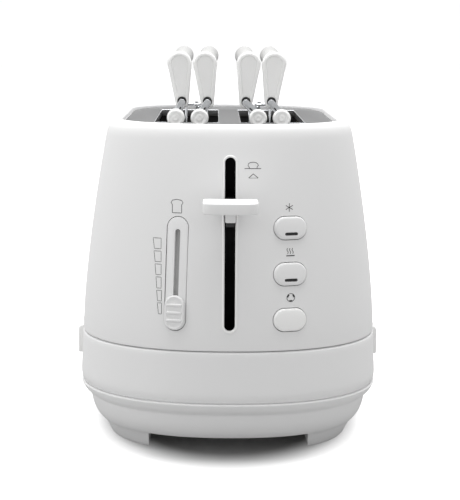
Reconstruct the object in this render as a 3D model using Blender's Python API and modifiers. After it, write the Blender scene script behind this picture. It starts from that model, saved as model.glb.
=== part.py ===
"""Two-slot pop-up toaster with a pair of sandwich cages hanging in its slots.

Frame: +Z up, front towards -Y, origin on the table under the middle of the overall length.
The shells and their contents are designed round the middle of the body, and the last step
moves them all back by half of what the lever reaches out at the front.
Lengths are metres; MM turns the millimetres of the design into metres.
"""

from math import asin, cos, pi, radians, sin, tau

import bmesh
import bpy
from mathutils import Matrix, Vector

MM = 0.001

# Plan shape of the body: a straight middle with a superellipse nose at each end.
HALF_WIDTH = 95 * MM
STRAIGHT_HALF = 62 * MM
NOSE_DEPTH = 88 * MM
NOSE_POWER = 2.28
NOSE_STEPS = 18

# Heights of the body, and how far its wall leans inwards between seam and shoulder.
SEAM_Z = 73 * MM
LIP_Z = 37.8 * MM
RIM_Z = 204 * MM
RIM_ROLL = 10 * MM
SHOULDER_Z = RIM_Z - RIM_ROLL
SEAM_INSET = 1.2 * MM
LEAN = 15 * MM
LEAN_POWER = 1.45
WALL = 2.8 * MM
FIT = 0.3 * MM

# Rim and the steel plate that lies in it.
RIM_TOP_INSET = 22.5 * MM
RIM_MOUTH_INSET = 26 * MM
LEDGE = 3 * MM
PLATE_SINK = 2.5 * MM
PLATE_Z = RIM_Z - PLATE_SINK
PLATE_THICKNESS = 1 * MM
SLOT_INNER_X = 7 * MM
SLOT_OUTER_X = 48 * MM
SLOT_HALF_LENGTH = 72.5 * MM
CHAMBER_SPARE = 2.5 * MM

# Base, feet and pads.
BASE_FLOOR_Z = 12 * MM
FLOOR_THICKNESS = 3 * MM
LIP_ROLL = 6 * MM
SKIRT_INSET = 6 * MM
SKIRT_FOOT_INSET = 12 * MM
FOOT_BOTTOM_Z = 1.5 * MM
FOOT_BOTTOM_INSET = 21 * MM
FOOT_INNER_X = 47 * MM
FOOT_INNER_Y = STRAIGHT_HALF + 4 * MM
PAD_RADIUS = 7 * MM
PAD_X = FOOT_INNER_X + 13 * MM
PAD_Y = FOOT_INNER_Y + 18 * MM
SCREW_X = 53 * MM
SCREW_Y = FOOT_INNER_Y - 11 * MM
SCREW_HEAD_RADIUS = 3.5 * MM
SCREW_HEAD_HEIGHT = 2 * MM
SCREW_SHANK_RADIUS = 1.6 * MM

# Front panel: browning slider and three buttons.
BUTTON_X = 36.4 * MM
BUTTON_HEIGHTS = {"defrost": 142.8 * MM, "reheat": 115.4 * MM, "cancel": 88 * MM}
BUTTON_LENGTH = 20.8 * MM
BUTTON_WIDTH = 13.8 * MM
BUTTON_DEPTH = 9 * MM
BUTTON_PROUD = 1 * MM
BUTTON_TRAVEL = 2 * MM
LAMP_LENGTH = 7.8 * MM
LAMP_WIDTH = 1.4 * MM
LAMP_DROP = 3.6 * MM
PANEL_X = -32.2 * MM
PANEL_Z = 115.5 * MM
PANEL_WIDTH = 13 * MM
PANEL_LENGTH = 68.2 * MM
PANEL_SINK = 0.6 * MM
GROOVE_WIDTH = 3.3 * MM
GROOVE_LENGTH = 56.5 * MM
SLIDER_WIDTH = 12.4 * MM
SLIDER_LENGTH = 20.8 * MM
SLIDER_HEIGHT = 2.4 * MM
SLIDER_END_GAP = 0.3 * MM
RIB_PITCH = 4.6 * MM
RIB_REACH = 4.6 * MM
RIB_HALF = 0.6 * MM
BOARD_THICKNESS = 1.6 * MM
PILLAR_RADIUS = 2.5 * MM

# Carriage at rest, part way up its slot.
CARRIAGE_TOP_Z = 158 * MM
CARRIAGE_BOTTOM_Z = 128 * MM
CARRIAGE_DOWN = 63 * MM
CARRIAGE_UP = 13 * MM
CARRIAGE_HALF_WIDTH = 30 * MM
CARRIAGE_GAP = 17 * MM
CARRIAGE_Y = -(SLOT_HALF_LENGTH + CHAMBER_SPARE + CARRIAGE_GAP)
SHEET = 2 * MM
STEM_WIDTH = 4.8 * MM
STEM_LOW_Z = 146.4 * MM
STEM_HIGH_Z = 160.6 * MM
STEM_COVER = 12 * MM
LEVER_SLOT_WIDTH = STEM_WIDTH + 0.8 * MM
LEVER_SLOT_LOW_Z = STEM_LOW_Z - CARRIAGE_DOWN - 1.8 * MM
LEVER_SLOT_HIGH_Z = STEM_HIGH_Z + CARRIAGE_UP + 11.3 * MM
LEVER_REACH = 24 * MM
LEVER_FRONT_Y = -(STRAIGHT_HALF + NOSE_DEPTH + LEVER_REACH)
LEVER_BACK_Y = -(STRAIGHT_HALF + NOSE_DEPTH - 0.8 * MM)
LEVER_HALF_WIDTH = 16.2 * MM
LEVER_TOP_Z = 161.5 * MM
LEVER_THICKNESS = 6.8 * MM
LEVER_CORNER = 3 * MM
LEVER_TAPER = 1.6 * MM
GUIDE_X = 9 * MM
GUIDE_Y = CARRIAGE_Y - 6 * MM
GUIDE_RADIUS = 3 * MM
SPRING_X = -20 * MM
SPRING_RADIUS = 3.4 * MM
SPRING_WIRE = 0.5 * MM
SPRING_TURNS = 11
RACK_X = 24.5 * MM
RACK_WIDTH = 5 * MM
RACK_HEIGHT = 5 * MM
RACK_TOP_Z = 134 * MM

# Toasting chamber.
CHAMBER_HALF_LENGTH = SLOT_HALF_LENGTH + CHAMBER_SPARE
CHAMBER_SHEET = 1 * MM
GUARD_INNER_X = 4.8 * MM
GUARD_OUTER_X = SLOT_OUTER_X + 2.6 * MM
HEATER_X = GUARD_OUTER_X + 5.4 * MM
CHAMBER_HALF_WIDTH = HEATER_X + 7 * MM
HEATER_LOW_Z = 62 * MM
HEATER_HIGH_Z = PLATE_Z - 9.5 * MM
MICA = 1 * MM
RIBBON = 0.4 * MM
RIBBON_RUNS = 9
GUARD_WIRE = 1.2 * MM
TRAY_HALF_WIDTH = 44 * MM
TRAY_DEPTH = 8 * MM

# Sandwich cages: two wire halves each, with a handle and a round foot.
CAGE_INNER_X = 15.5 * MM
CAGE_OUTER_X = 30.2 * MM
CAGE_WIRE = 1.8 * MM
CAGE_BAR = 2.2 * MM
CAGE_HALF_LENGTH = SLOT_HALF_LENGTH - 8.5 * MM
CAGE_LOW_Z = 85 * MM
CAGE_HIGH_Z = PLATE_Z - 11.5 * MM
HANDLE_INNER_X = 13.5 * MM
HANDLE_OUTER_X = 29.2 * MM
HANDLE_Z = PLATE_Z + 39.5 * MM
HANDLE_TOP_RADIUS = 7.4 * MM
HANDLE_FOOT_RADIUS = 4.2 * MM
HANDLE_DROP = 19.5 * MM
HANDLE_FRONT_Y = -(STRAIGHT_HALF + 38 * MM)
HANDLE_THICKNESS = 8.5 * MM
HANDLE_GRIP_LENGTH = 22 * MM
HANDLE_GRIP_RISE = 5 * MM
HANDLE_GRIP_RADIUS = 5.6 * MM
HANDLE_GRIP_LEAN = 1.5 * MM
TANG_Y = HANDLE_FRONT_Y + 5 * MM
TANG_HIGH_Z = PLATE_Z + 24.5 * MM
KNOB_INNER_X = 17.9 * MM
KNOB_OUTER_X = 32.4 * MM
KNOB_RADIUS = 5.5 * MM
KNOB_FRONT_Y = HANDLE_FRONT_Y - 11 * MM
KNOB_THICKNESS = 6.2 * MM
HINGE_Y = SLOT_HALF_LENGTH + 5.5 * MM
HINGE_RADIUS = 1.5 * MM
TAB_REACH = 1.8 * MM
ARM_Z = PLATE_Z + 10.5 * MM

# Side grips and the cord gland at the back.
SIDE_GRIP_HALF_LENGTH = 32 * MM
SIDE_GRIP_LOW_Z = 43.5 * MM
SIDE_GRIP_HIGH_Z = 62.8 * MM
SIDE_GRIP_PROUD = 4 * MM
GLAND_Z = 56 * MM
GLAND_RADIUS = 6 * MM
GLAND_BORE = 3.6 * MM
GLAND_REACH = 3.3 * MM

# Local axes of a sheet that stands across X, and of one that faces the front.
ACROSS_X = Matrix(((0, 0, 1, 0), (1, 0, 0, 0), (0, 1, 0, 0), (0, 0, 0, 1)))
FACING_FRONT = Matrix(((1, 0, 0, 0), (0, 0, -1, 0), (0, 1, 0, 0), (0, 0, 0, 1)))


def clear_scene():
    for old in list(bpy.data.objects):
        bpy.data.objects.remove(old, do_unlink=True)


def new_collection(name):
    collection = bpy.data.collections.new(name)
    bpy.context.scene.collection.children.link(collection)
    return collection


def new_material(name, colour, roughness, metallic=0.0):
    material = bpy.data.materials.new(name)
    material.use_nodes = True
    shader = material.node_tree.nodes["Principled BSDF"]
    shader.inputs["Base Color"].default_value = (*colour, 1)
    shader.inputs["Roughness"].default_value = roughness
    shader.inputs["Metallic"].default_value = metallic
    material.diffuse_color = (*colour, 1)
    return material


clear_scene()
TOASTER = new_collection("pop_up_toaster")
CUTTERS = new_collection("cutters")
CUTTERS.hide_render = True

WHITE = new_material("white_gloss_plastic", (0.86, 0.86, 0.86), 0.25)
PALE = new_material("pale_plastic", (0.78, 0.78, 0.78), 0.35)
BLACK = new_material("black_plastic", (0.02, 0.02, 0.02), 0.5)
STEEL = new_material("brushed_steel", (0.45, 0.45, 0.45), 0.3, 1.0)
CHROME = new_material("chromed_wire", (0.7, 0.7, 0.7), 0.12, 1.0)
SHEET_STEEL = new_material("galvanised_sheet", (0.35, 0.35, 0.36), 0.45, 1.0)
MICA_BOARD = new_material("mica_board", (0.55, 0.5, 0.42), 0.6)
RUBBER = new_material("foot_rubber", (0.05, 0.05, 0.05), 0.8)
BOARD_GREEN = new_material("circuit_board", (0.03, 0.2, 0.08), 0.5)


def add(name, mesh, material, matrix=None, smooth=False):
    """Puts a mesh in the toaster's collection as one named piece."""
    obj = bpy.data.objects.new(name, mesh)
    mesh.materials.clear()
    mesh.materials.append(material)
    if smooth:
        mesh.shade_smooth()
        mesh.set_sharp_from_angle(angle=radians(35))
    if matrix is not None:
        obj.matrix_world = matrix
    TOASTER.objects.link(obj)
    return obj


def helper(name, mesh, matrix=None):
    """A cutter, or a shape that a union takes in: it is never a piece of its own."""
    obj = bpy.data.objects.new(name, mesh)
    if matrix is not None:
        obj.matrix_world = matrix
    obj.hide_render = True
    obj.display_type = "WIRE"
    CUTTERS.objects.link(obj)
    return obj


def combine(target, other, operation):
    modifier = target.modifiers.new(f"{operation.lower()}_{other.name}", "BOOLEAN")
    modifier.operation = operation
    modifier.solver = "EXACT"
    modifier.object = other


def cut(target, other):
    combine(target, other, "DIFFERENCE")


def join(target, other):
    combine(target, other, "UNION")


def trim(target, other):
    combine(target, other, "INTERSECT")


def bevel(obj, width, segments=1, angle=40):
    modifier = obj.modifiers.new("bevel", "BEVEL")
    modifier.width = width
    modifier.segments = segments
    modifier.limit_method = "ANGLE"
    modifier.angle_limit = radians(angle)


def mesh_from(build):
    """A mesh made by build, which fills an empty bmesh."""
    mesh = bpy.data.meshes.new("shape")
    shape = bmesh.new()
    build(shape)
    bmesh.ops.recalc_face_normals(shape, faces=shape.faces)
    shape.to_mesh(mesh)
    shape.free()
    return mesh


def block(low, high):
    """A box from its lowest to its highest corner."""
    low, high = Vector(low), Vector(high)
    size = Matrix.Diagonal((*(high - low), 1))
    place = Matrix.Translation((low + high) / 2) @ size
    return mesh_from(lambda shape: bmesh.ops.create_cube(shape, size=1, matrix=place))


def rod(start, end, radius, sides=16):
    """A cylinder between two points."""
    start, end = Vector(start), Vector(end)
    axis = end - start
    turn = Vector((0, 0, 1)).rotation_difference(axis).to_matrix().to_4x4()
    place = Matrix.Translation((start + end) / 2) @ turn
    return mesh_from(lambda shape: bmesh.ops.create_cone(
        shape, cap_ends=True, segments=sides, radius1=radius, radius2=radius,
        depth=axis.length, matrix=place))


def arc(centre, radii, start, end, steps):
    """Points along an elliptical arc, angles in degrees."""
    points = []
    for step in range(steps + 1):
        angle = radians(start + (end - start) * step / steps)
        points.append((centre[0] + radii[0] * cos(angle), centre[1] + radii[1] * sin(angle)))
    return points


def pill(length, width, steps=6):
    """Outline of an upright pill round the origin."""
    radius = width / 2
    reach = length / 2 - radius
    upper = arc((0, reach), (radius, radius), 0, 180, steps)
    lower = arc((0, -reach), (radius, radius), 180, 360, steps)
    return upper + lower


def tapered_pill(top_radius, foot_radius, drop, steps=9):
    """Outline round two circles, the larger one at the origin and the other below it."""
    tilt = asin((top_radius - foot_radius) / drop) * 180 / pi
    upper = arc((0, 0), (top_radius, top_radius), -tilt, 180 + tilt, steps)
    lower = arc((0, -drop), (foot_radius, foot_radius), 180 + tilt, 360 - tilt, steps - 3)
    return upper + lower


def prism(loops, low, high):
    """Flat outlines filled, holes included, and made solid from low to high along local Z."""
    curve = bpy.data.curves.new("outline", "CURVE")
    curve.dimensions = "2D"
    curve.fill_mode = "BOTH"
    curve.extrude = (high - low) / 2
    for loop in loops:
        spline = curve.splines.new("POLY")
        spline.points.add(len(loop) - 1)
        for point, (x, y) in zip(spline.points, loop):
            point.co = (x, y, 0, 1)
        spline.use_cyclic_u = True
    guide = bpy.data.objects.new("outline", curve)
    bpy.context.scene.collection.objects.link(guide)
    graph = bpy.context.evaluated_depsgraph_get()
    mesh = bpy.data.meshes.new_from_object(guide.evaluated_get(graph))
    bpy.data.objects.remove(guide)
    shape = bmesh.new()
    shape.from_mesh(mesh)
    bmesh.ops.remove_doubles(shape, verts=shape.verts, dist=0.001 * MM)
    bmesh.ops.translate(shape, verts=shape.verts, vec=(0, 0, (low + high) / 2))
    bmesh.ops.recalc_face_normals(shape, faces=shape.faces)
    shape.to_mesh(mesh)
    shape.free()
    return mesh


def tube(points, radius, radii=None, sides=2):
    """A wire through the points; radii scale its thickness point by point."""
    curve = bpy.data.curves.new("wire", "CURVE")
    curve.dimensions = "3D"
    curve.bevel_depth = radius
    curve.bevel_resolution = sides
    curve.use_fill_caps = True
    spline = curve.splines.new("POLY")
    spline.points.add(len(points) - 1)
    for index, point in enumerate(points):
        spline.points[index].co = (*point, 1)
        if radii:
            spline.points[index].radius = radii[index]
    guide = bpy.data.objects.new("wire", curve)
    bpy.context.scene.collection.objects.link(guide)
    graph = bpy.context.evaluated_depsgraph_get()
    mesh = bpy.data.meshes.new_from_object(guide.evaluated_get(graph))
    bpy.data.objects.remove(guide)
    shape = bmesh.new()
    shape.from_mesh(mesh)
    bmesh.ops.remove_doubles(shape, verts=shape.verts, dist=0.001 * MM)
    bmesh.ops.recalc_face_normals(shape, faces=shape.faces)
    shape.to_mesh(mesh)
    shape.free()
    return mesh


def racetrack(inset, z):
    """One ring of points round the body, the given distance inside its widest outline."""
    ring = []
    for end in (1, -1):
        for step in range(NOSE_STEPS + 1):
            angle = pi * step / NOSE_STEPS
            across = abs(cos(angle)) ** (2 / NOSE_POWER)
            along = sin(angle) ** (2 / NOSE_POWER) if 0 < step < NOSE_STEPS else 0
            x = (HALF_WIDTH - inset) * (across if cos(angle) > 0 else -across) * end
            y = (STRAIGHT_HALF + (NOSE_DEPTH - inset) * along) * end
            ring.append(Vector((x, y, z)))
    return ring


def loft(profile, capped):
    """Rings at each (inset, height) of the profile, joined one to the next.

    A capped loft is a solid or a vessel, and any other closes on its first ring.
    """
    mesh = bpy.data.meshes.new("loft")
    shape = bmesh.new()
    rings = [[shape.verts.new(point) for point in racetrack(*place)] for place in profile]
    pairs = list(zip(rings, rings[1:])) if capped else list(zip(rings, rings[1:] + rings[:1]))
    for lower, upper in pairs:
        for index in range(len(lower)):
            follow = (index + 1) % len(lower)
            shape.faces.new((lower[index], lower[follow], upper[follow], upper[index]))
    if capped:
        shape.faces.new(rings[0][::-1])
        shape.faces.new(rings[-1])
    bmesh.ops.recalc_face_normals(shape, faces=shape.faces)
    shape.to_mesh(mesh)
    shape.free()
    return mesh


def wall_inset(z):
    """How far inside the widest outline the upper wall stands at this height."""
    rise = max(0, (z - SEAM_Z) / (SHOULDER_Z - SEAM_Z))
    return SEAM_INSET + LEAN * rise ** LEAN_POWER


def front_y(x, z):
    """Y of the front wall's outer face."""
    inset = wall_inset(z)
    share = (1 - (abs(x) / (HALF_WIDTH - inset)) ** NOSE_POWER) ** (1 / NOSE_POWER)
    return -STRAIGHT_HALF - (NOSE_DEPTH - inset) * share


def wall_frame(x, z):
    """Axes that lie on the front wall: right, up and outwards, from a point on its face."""
    step = 0.5 * MM
    slope_x = (front_y(x + step, z) - front_y(x - step, z)) / (2 * step)
    slope_z = (front_y(x, z + step) - front_y(x, z - step)) / (2 * step)
    right = Vector((1, slope_x, 0)).normalized()
    out = Vector((slope_x, -1, slope_z)).normalized()
    up = out.cross(right)
    place = Matrix((right, up, out)).transposed().to_4x4()
    place.translation = (x, front_y(x, z), z)
    return place


def lattice(length, low, high, bar, columns, rows):
    """Outline of a grid and its windows, centred along local X."""
    loops = [[(-length / 2, low), (length / 2, low), (length / 2, high), (-length / 2, high)]]
    return loops + windows(length, low, high, bar, columns, rows)


def windows(length, low, high, bar, columns, rows):
    wide = (length - bar) / columns
    tall = (high - low - bar) / rows
    holes = []
    for column in range(columns):
        for row in range(rows):
            left = -length / 2 + bar + column * wide
            bottom = low + bar + row * tall
            right = left + wide - bar
            top = bottom + tall - bar
            holes.append([(left, bottom), (right, bottom), (right, top), (left, top)])
    return holes


# ---- Shells of the body -------------------------------------------------------------


def upper_wall_heights(start, end, count):
    return [start + (end - start) * index / count for index in range(count + 1)]


def make_upper_housing():
    """The tall white shell with its rolled rim and the ledge that carries the plate."""
    heights = upper_wall_heights(SEAM_Z + 1.2 * MM, SHOULDER_Z, 6)
    outer = [(SEAM_INSET + 0.7 * MM, SEAM_Z + FIT)]
    outer += [(wall_inset(z), z) for z in heights]
    shoulder = wall_inset(SHOULDER_Z)
    roll_radii = (shoulder - RIM_TOP_INSET, RIM_Z - SHOULDER_Z)
    roll = arc((RIM_TOP_INSET, SHOULDER_Z), roll_radii, 0, 90, 5)
    mouth_z = PLATE_Z + FIT
    lip_radii = (RIM_MOUTH_INSET - RIM_TOP_INSET, RIM_Z - mouth_z)
    lip = arc((RIM_TOP_INSET, mouth_z), lip_radii, 90, 0, 3)
    ledge_z = PLATE_Z - PLATE_THICKNESS - FIT
    ledge_inset = RIM_MOUTH_INSET + LEDGE
    ledge = [(RIM_MOUTH_INSET, ledge_z), (ledge_inset, ledge_z), (ledge_inset, ledge_z - 2 * MM)]
    ledge.append((shoulder + 2 * WALL, SHOULDER_Z))
    inner = [(wall_inset(z) + WALL, z) for z in heights[-2::-1]]
    inner.append((SEAM_INSET + WALL, SEAM_Z + FIT))
    shell = loft(outer + roll[1:] + lip[1:] + ledge + inner, False)
    housing = add("upper_housing", shell, WHITE, smooth=True)
    slot_middle = (LEVER_SLOT_LOW_Z + LEVER_SLOT_HIGH_Z) / 2
    slot_outline = pill(LEVER_SLOT_HIGH_Z - LEVER_SLOT_LOW_Z, LEVER_SLOT_WIDTH)
    slot = prism([slot_outline], 2 * STRAIGHT_HALF, STRAIGHT_HALF + 1.2 * NOSE_DEPTH)
    slot_place = Matrix.Translation((0, 0, slot_middle)) @ FACING_FRONT
    cut(housing, helper("lever_slot", slot, slot_place))
    for name, z in BUTTON_HEIGHTS.items():
        outline = lying(pill(BUTTON_LENGTH + 2 * FIT, BUTTON_WIDTH + 2 * FIT))
        hole = prism([outline], -3 * WALL, 3 * WALL)
        cut(housing, helper(f"{name}_hole", hole, wall_frame(BUTTON_X, z)))
    recess = prism([pill(PANEL_LENGTH + 2 * FIT, PANEL_WIDTH + 2 * FIT)], -3 * WALL, 3 * WALL)
    cut(housing, helper("panel_hole", recess, wall_frame(PANEL_X, PANEL_Z)))


def lying(outline):
    """The outline turned a quarter turn, so that its length runs sideways."""
    return [(-y, x) for x, y in outline]


def make_lower_band():
    """The plain belt between the seam and the bright lip of the base."""
    top, bottom = SEAM_Z - FIT, LIP_Z + FIT
    inner = SEAM_INSET + WALL
    profile = [
        (0, bottom), (0.2 * MM, bottom + 2 * MM), (0.6 * MM, bottom + 8 * MM),
        (SEAM_INSET - 0.3 * MM, top - 1 * MM), (SEAM_INSET + 0.5 * MM, top),
        (inner, top), (inner, bottom),
    ]
    band = add("lower_band", loft(profile, False), WHITE, smooth=True)
    back = STRAIGHT_HALF + NOSE_DEPTH
    bore = rod((0, back - 20 * MM, GLAND_Z), (0, back + 20 * MM, GLAND_Z), GLAND_RADIUS + FIT)
    cut(band, helper("gland_hole", bore))


def make_cord_gland():
    """The ring at the back that the mains cord would come through."""
    back = STRAIGHT_HALF + NOSE_DEPTH
    flange_y = back + FIT
    barrel = rod((0, back - 9 * MM, GLAND_Z), (0, back + 2 * MM, GLAND_Z), GLAND_RADIUS)
    gland = add("cord_gland", barrel, BLACK)
    flange_end = (0, back + GLAND_REACH, GLAND_Z)
    flange = rod((0, flange_y, GLAND_Z), flange_end, GLAND_RADIUS + 2.5 * MM, 20)
    join(gland, helper("gland_flange", flange))
    bore = rod((0, back - 20 * MM, GLAND_Z), (0, back + 20 * MM, GLAND_Z), GLAND_BORE, 12)
    cut(gland, helper("gland_bore", bore))


def make_base():
    """The base with its rolled lip, recessed skirt, floor and four moulded feet."""
    floor_top = BASE_FLOOR_Z + FLOOR_THICKNESS
    skirt_top = LIP_Z - LIP_ROLL - 1 * MM
    edge_z = BASE_FLOOR_Z + 1.2 * MM
    outer = [(SKIRT_FOOT_INSET + 3 * MM, BASE_FLOOR_Z), (SKIRT_FOOT_INSET, edge_z)]
    skirt_span = (SKIRT_FOOT_INSET - SKIRT_INSET, skirt_top - edge_z)
    outer += arc((SKIRT_FOOT_INSET, skirt_top), (-skirt_span[0], -skirt_span[1]), 60, 0, 3)
    outer += arc((LIP_ROLL, LIP_Z - 1 * MM), (-LIP_ROLL, -LIP_ROLL), 75, 0, 4)
    outer.append((0.5 * MM, LIP_Z))
    inner_foot = SKIRT_FOOT_INSET + WALL
    inner = [
        (WALL + 1 * MM, LIP_Z), (SKIRT_INSET + WALL, skirt_top),
        (inner_foot, floor_top + 4 * MM), (inner_foot + 4 * MM, floor_top),
    ]
    base = add("base", loft(outer + inner, True), PALE, smooth=True)
    foot_top = BASE_FLOOR_Z + 2 * MM
    foot_profile = [
        (FOOT_BOTTOM_INSET + 1.5 * MM, FOOT_BOTTOM_Z), (FOOT_BOTTOM_INSET, FOOT_BOTTOM_Z + 1.5 * MM),
        (SKIRT_FOOT_INSET + 1 * MM, foot_top),
    ]
    for end, row in ((-1, "front"), (1, "rear")):
        for side, hand in ((-1, "left"), (1, "right")):
            foot = helper(f"{row}_{hand}_foot", loft(foot_profile, True))
            xs = sorted((side * FOOT_INNER_X, side * 2 * HALF_WIDTH))
            ys = sorted((end * FOOT_INNER_Y, end * 2 * (STRAIGHT_HALF + NOSE_DEPTH)))
            corner = block((xs[0], ys[0], 0), (xs[1], ys[1], 0.5 * RIM_Z))
            trim(foot, helper(f"{row}_{hand}_corner", corner))
            join(base, foot)
            make_pad_and_screw(base, row, hand, side, end)
    mouth = block(
        (-TRAY_HALF_WIDTH - FIT, CHAMBER_HALF_LENGTH, floor_top + FIT / 2),
        (TRAY_HALF_WIDTH + FIT, 2 * (STRAIGHT_HALF + NOSE_DEPTH), floor_top + TRAY_DEPTH + 2 * FIT))
    cut(base, helper("tray_mouth", mouth))


def make_pad_and_screw(base, row, hand, side, end):
    """A rubber pad under each foot, and a screw beside it that holds the base on."""
    x, y = side * PAD_X, end * PAD_Y
    pad = rod((x, y, 0), (x, y, FOOT_BOTTOM_Z - FIT), PAD_RADIUS, 24)
    add(f"foot_pad_{row}_{hand}", pad, RUBBER, smooth=True)
    screw_x, screw_y = side * SCREW_X, end * SCREW_Y
    head_top = BASE_FLOOR_Z - FIT
    shank_top = BASE_FLOOR_Z + FLOOR_THICKNESS + 7 * MM
    head_low = (screw_x, screw_y, head_top - SCREW_HEAD_HEIGHT)
    head = rod(head_low, (screw_x, screw_y, head_top), SCREW_HEAD_RADIUS)
    screw = add(f"base_screw_{row}_{hand}", head, STEEL)
    shank_low = (screw_x, screw_y, head_top - SCREW_HEAD_HEIGHT / 2)
    shank = rod(shank_low, (screw_x, screw_y, shank_top), SCREW_SHANK_RADIUS, 10)
    join(screw, helper(f"{row}_{hand}_shank", shank))
    hole_radius = SCREW_SHANK_RADIUS + FIT
    hole = rod((screw_x, screw_y, 0), (screw_x, screw_y, shank_top), hole_radius, 12)
    cut(base, helper(f"{row}_{hand}_screw_hole", hole))


def make_side_grips():
    """A finger ledge on each flank, flat below and rounded above."""
    flat = HALF_WIDTH - 0.6 * MM + FIT
    height = SIDE_GRIP_HIGH_Z - SIDE_GRIP_LOW_Z
    for side, hand in ((-1, "left"), (1, "right")):
        section = [(0, 0), (SIDE_GRIP_PROUD, 0)]
        section += arc((0, height * 0.55), (SIDE_GRIP_PROUD, height * 0.45), 0, 90, 4)
        outline = [(side * (flat + x), SIDE_GRIP_LOW_Z + z) for x, z in section]
        mesh = prism([outline], -SIDE_GRIP_HALF_LENGTH, SIDE_GRIP_HALF_LENGTH)
        grip = add(f"side_grip_{hand}", mesh, WHITE, FACING_FRONT)
        bevel(grip, 0.8 * MM, 2)


def make_top_plate():
    """Brushed steel plate in the rim, with a long opening each side of its middle bar."""
    outline = [(p.x, p.y) for p in racetrack(RIM_MOUTH_INSET + FIT, 0)]
    openings = []
    for side in (-1, 1):
        inner, outer = side * SLOT_INNER_X, side * SLOT_OUTER_X
        openings.append([
            (inner, -SLOT_HALF_LENGTH), (outer, -SLOT_HALF_LENGTH),
            (outer, SLOT_HALF_LENGTH), (inner, SLOT_HALF_LENGTH)])
    add("top_plate", prism([outline] + openings, PLATE_Z - PLATE_THICKNESS, PLATE_Z), STEEL)


# ---- Front panel --------------------------------------------------------------------


def make_buttons():
    """Three pill-shaped push buttons, two of them with a lamp bar in the face."""
    for name, z in BUTTON_HEIGHTS.items():
        place = wall_frame(BUTTON_X, z)
        cap = prism([lying(pill(BUTTON_LENGTH, BUTTON_WIDTH))], -BUTTON_DEPTH, BUTTON_PROUD)
        button = add(f"button_{name}", cap, WHITE, place, smooth=True)
        bevel(button, 0.7 * MM, 2)
        if name == "cancel":
            continue
        window = lying(pill(LAMP_LENGTH, LAMP_WIDTH, 4))
        drop = Matrix.Translation((0, -LAMP_DROP, 0))
        pocket = lying(pill(LAMP_LENGTH + 2 * FIT, LAMP_WIDTH + 2 * FIT, 4))
        pocket_mesh = prism([pocket], BUTTON_PROUD - 1.5 * MM - FIT, 2 * BUTTON_PROUD)
        cut(button, helper(f"{name}_lamp_pocket", pocket_mesh, place @ drop))
        lamp = prism([window], BUTTON_PROUD - 1.5 * MM, BUTTON_PROUD + 0.1 * MM)
        add(f"button_lamp_{name}", lamp, BLACK, place @ drop)


def make_button_board():
    """The board behind the buttons, with one switch for each and two pillars to the chamber."""
    middle = wall_frame(BUTTON_X, BUTTON_HEIGHTS["reheat"])
    back = -BUTTON_DEPTH - BUTTON_TRAVEL - FIT
    board_face = back - 6 * MM
    half_length = (BUTTON_HEIGHTS["defrost"] - BUTTON_HEIGHTS["cancel"]) / 2 + 11 * MM
    board_back = board_face - BOARD_THICKNESS
    plate = block((-9 * MM, -half_length, board_back), (9 * MM, half_length, board_face))
    board = add("button_board", plate, BOARD_GREEN, middle)
    for name, z in BUTTON_HEIGHTS.items():
        switch = block((-3 * MM, -3 * MM, board_face - 1 * MM), (3 * MM, 3 * MM, back))
        join(board, helper(f"{name}_switch", switch, wall_frame(BUTTON_X, z)))
    for end in (-1, 1):
        core = board_face - BOARD_THICKNESS / 2
        foot = middle @ Vector((6 * MM, end * (half_length - 5 * MM), core))
        join(board, helper(f"button_pillar_{end + 1}", pillar_to_chamber(foot)))


def pillar_to_chamber(foot):
    """A round pillar that runs straight back from a board to the chamber's front wall."""
    wall_y = -CHAMBER_HALF_LENGTH - CHAMBER_SHEET - FIT
    return rod(foot, (foot.x, wall_y, foot.z), PILLAR_RADIUS, 10)


def panel_frame():
    return wall_frame(PANEL_X, PANEL_Z)


def make_browning_control():
    """Grooved panel, ribbed slider with its stem, and the slide control behind them."""
    face = -PANEL_SINK
    groove = [(x, y - 1.5 * MM) for x, y in pill(GROOVE_LENGTH, GROOVE_WIDTH, 4)]
    panel = prism([pill(PANEL_LENGTH, PANEL_WIDTH), groove], face - 2.2 * MM, face)
    add("browning_panel", panel, WHITE, panel_frame(), smooth=True)
    rest = -(PANEL_LENGTH - SLIDER_LENGTH) / 2 + SLIDER_END_GAP
    slider_place = panel_frame() @ Matrix.Translation((0, rest, 0))
    under = face + FIT
    top = under + SLIDER_HEIGHT
    cap = prism([pill(SLIDER_LENGTH, SLIDER_WIDTH)], under, top)
    slider = add("browning_slider", cap, WHITE, slider_place, smooth=True)
    bevel(slider, 0.8 * MM, 2)
    stem_bottom = face - 6 * MM
    stem_half = GROOVE_WIDTH / 2 - FIT
    stem = block((-stem_half, -3 * MM, stem_bottom), (stem_half, 3 * MM, under + 1 * MM))
    join(slider, helper("slider_stem", stem, slider_place))
    for step in (-1, 0, 1):
        y = step * RIB_PITCH
        rib = block(
            (-RIB_REACH, y - RIB_HALF, top - 1 * MM), (RIB_REACH, y + RIB_HALF, top + RIB_HALF))
        join(slider, helper(f"slider_rib_{step + 1}", rib, slider_place))
    make_control_board(stem_bottom - FIT)


def make_control_board(control_top):
    """The main board with its slide control in front, on two pillars to the chamber."""
    face = control_top - 6 * MM
    half_length = PANEL_LENGTH / 2 + 6 * MM
    back = face - BOARD_THICKNESS
    plate = block((-13 * MM, -half_length, back), (9 * MM, half_length, face))
    board = add("control_board", plate, BOARD_GREEN, panel_frame())
    reach = PANEL_LENGTH / 2
    control = block((-4.5 * MM, -reach, face - 1 * MM), (4.5 * MM, reach, control_top))
    join(board, helper("slide_control", control, panel_frame()))
    for end in (-1, 1):
        core = face - BOARD_THICKNESS / 2
        foot = panel_frame() @ Vector((-8 * MM, end * (half_length - 5 * MM), core))
        join(board, helper(f"control_pillar_{end + 1}", pillar_to_chamber(foot)))


# ---- Carriage -----------------------------------------------------------------------


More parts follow.
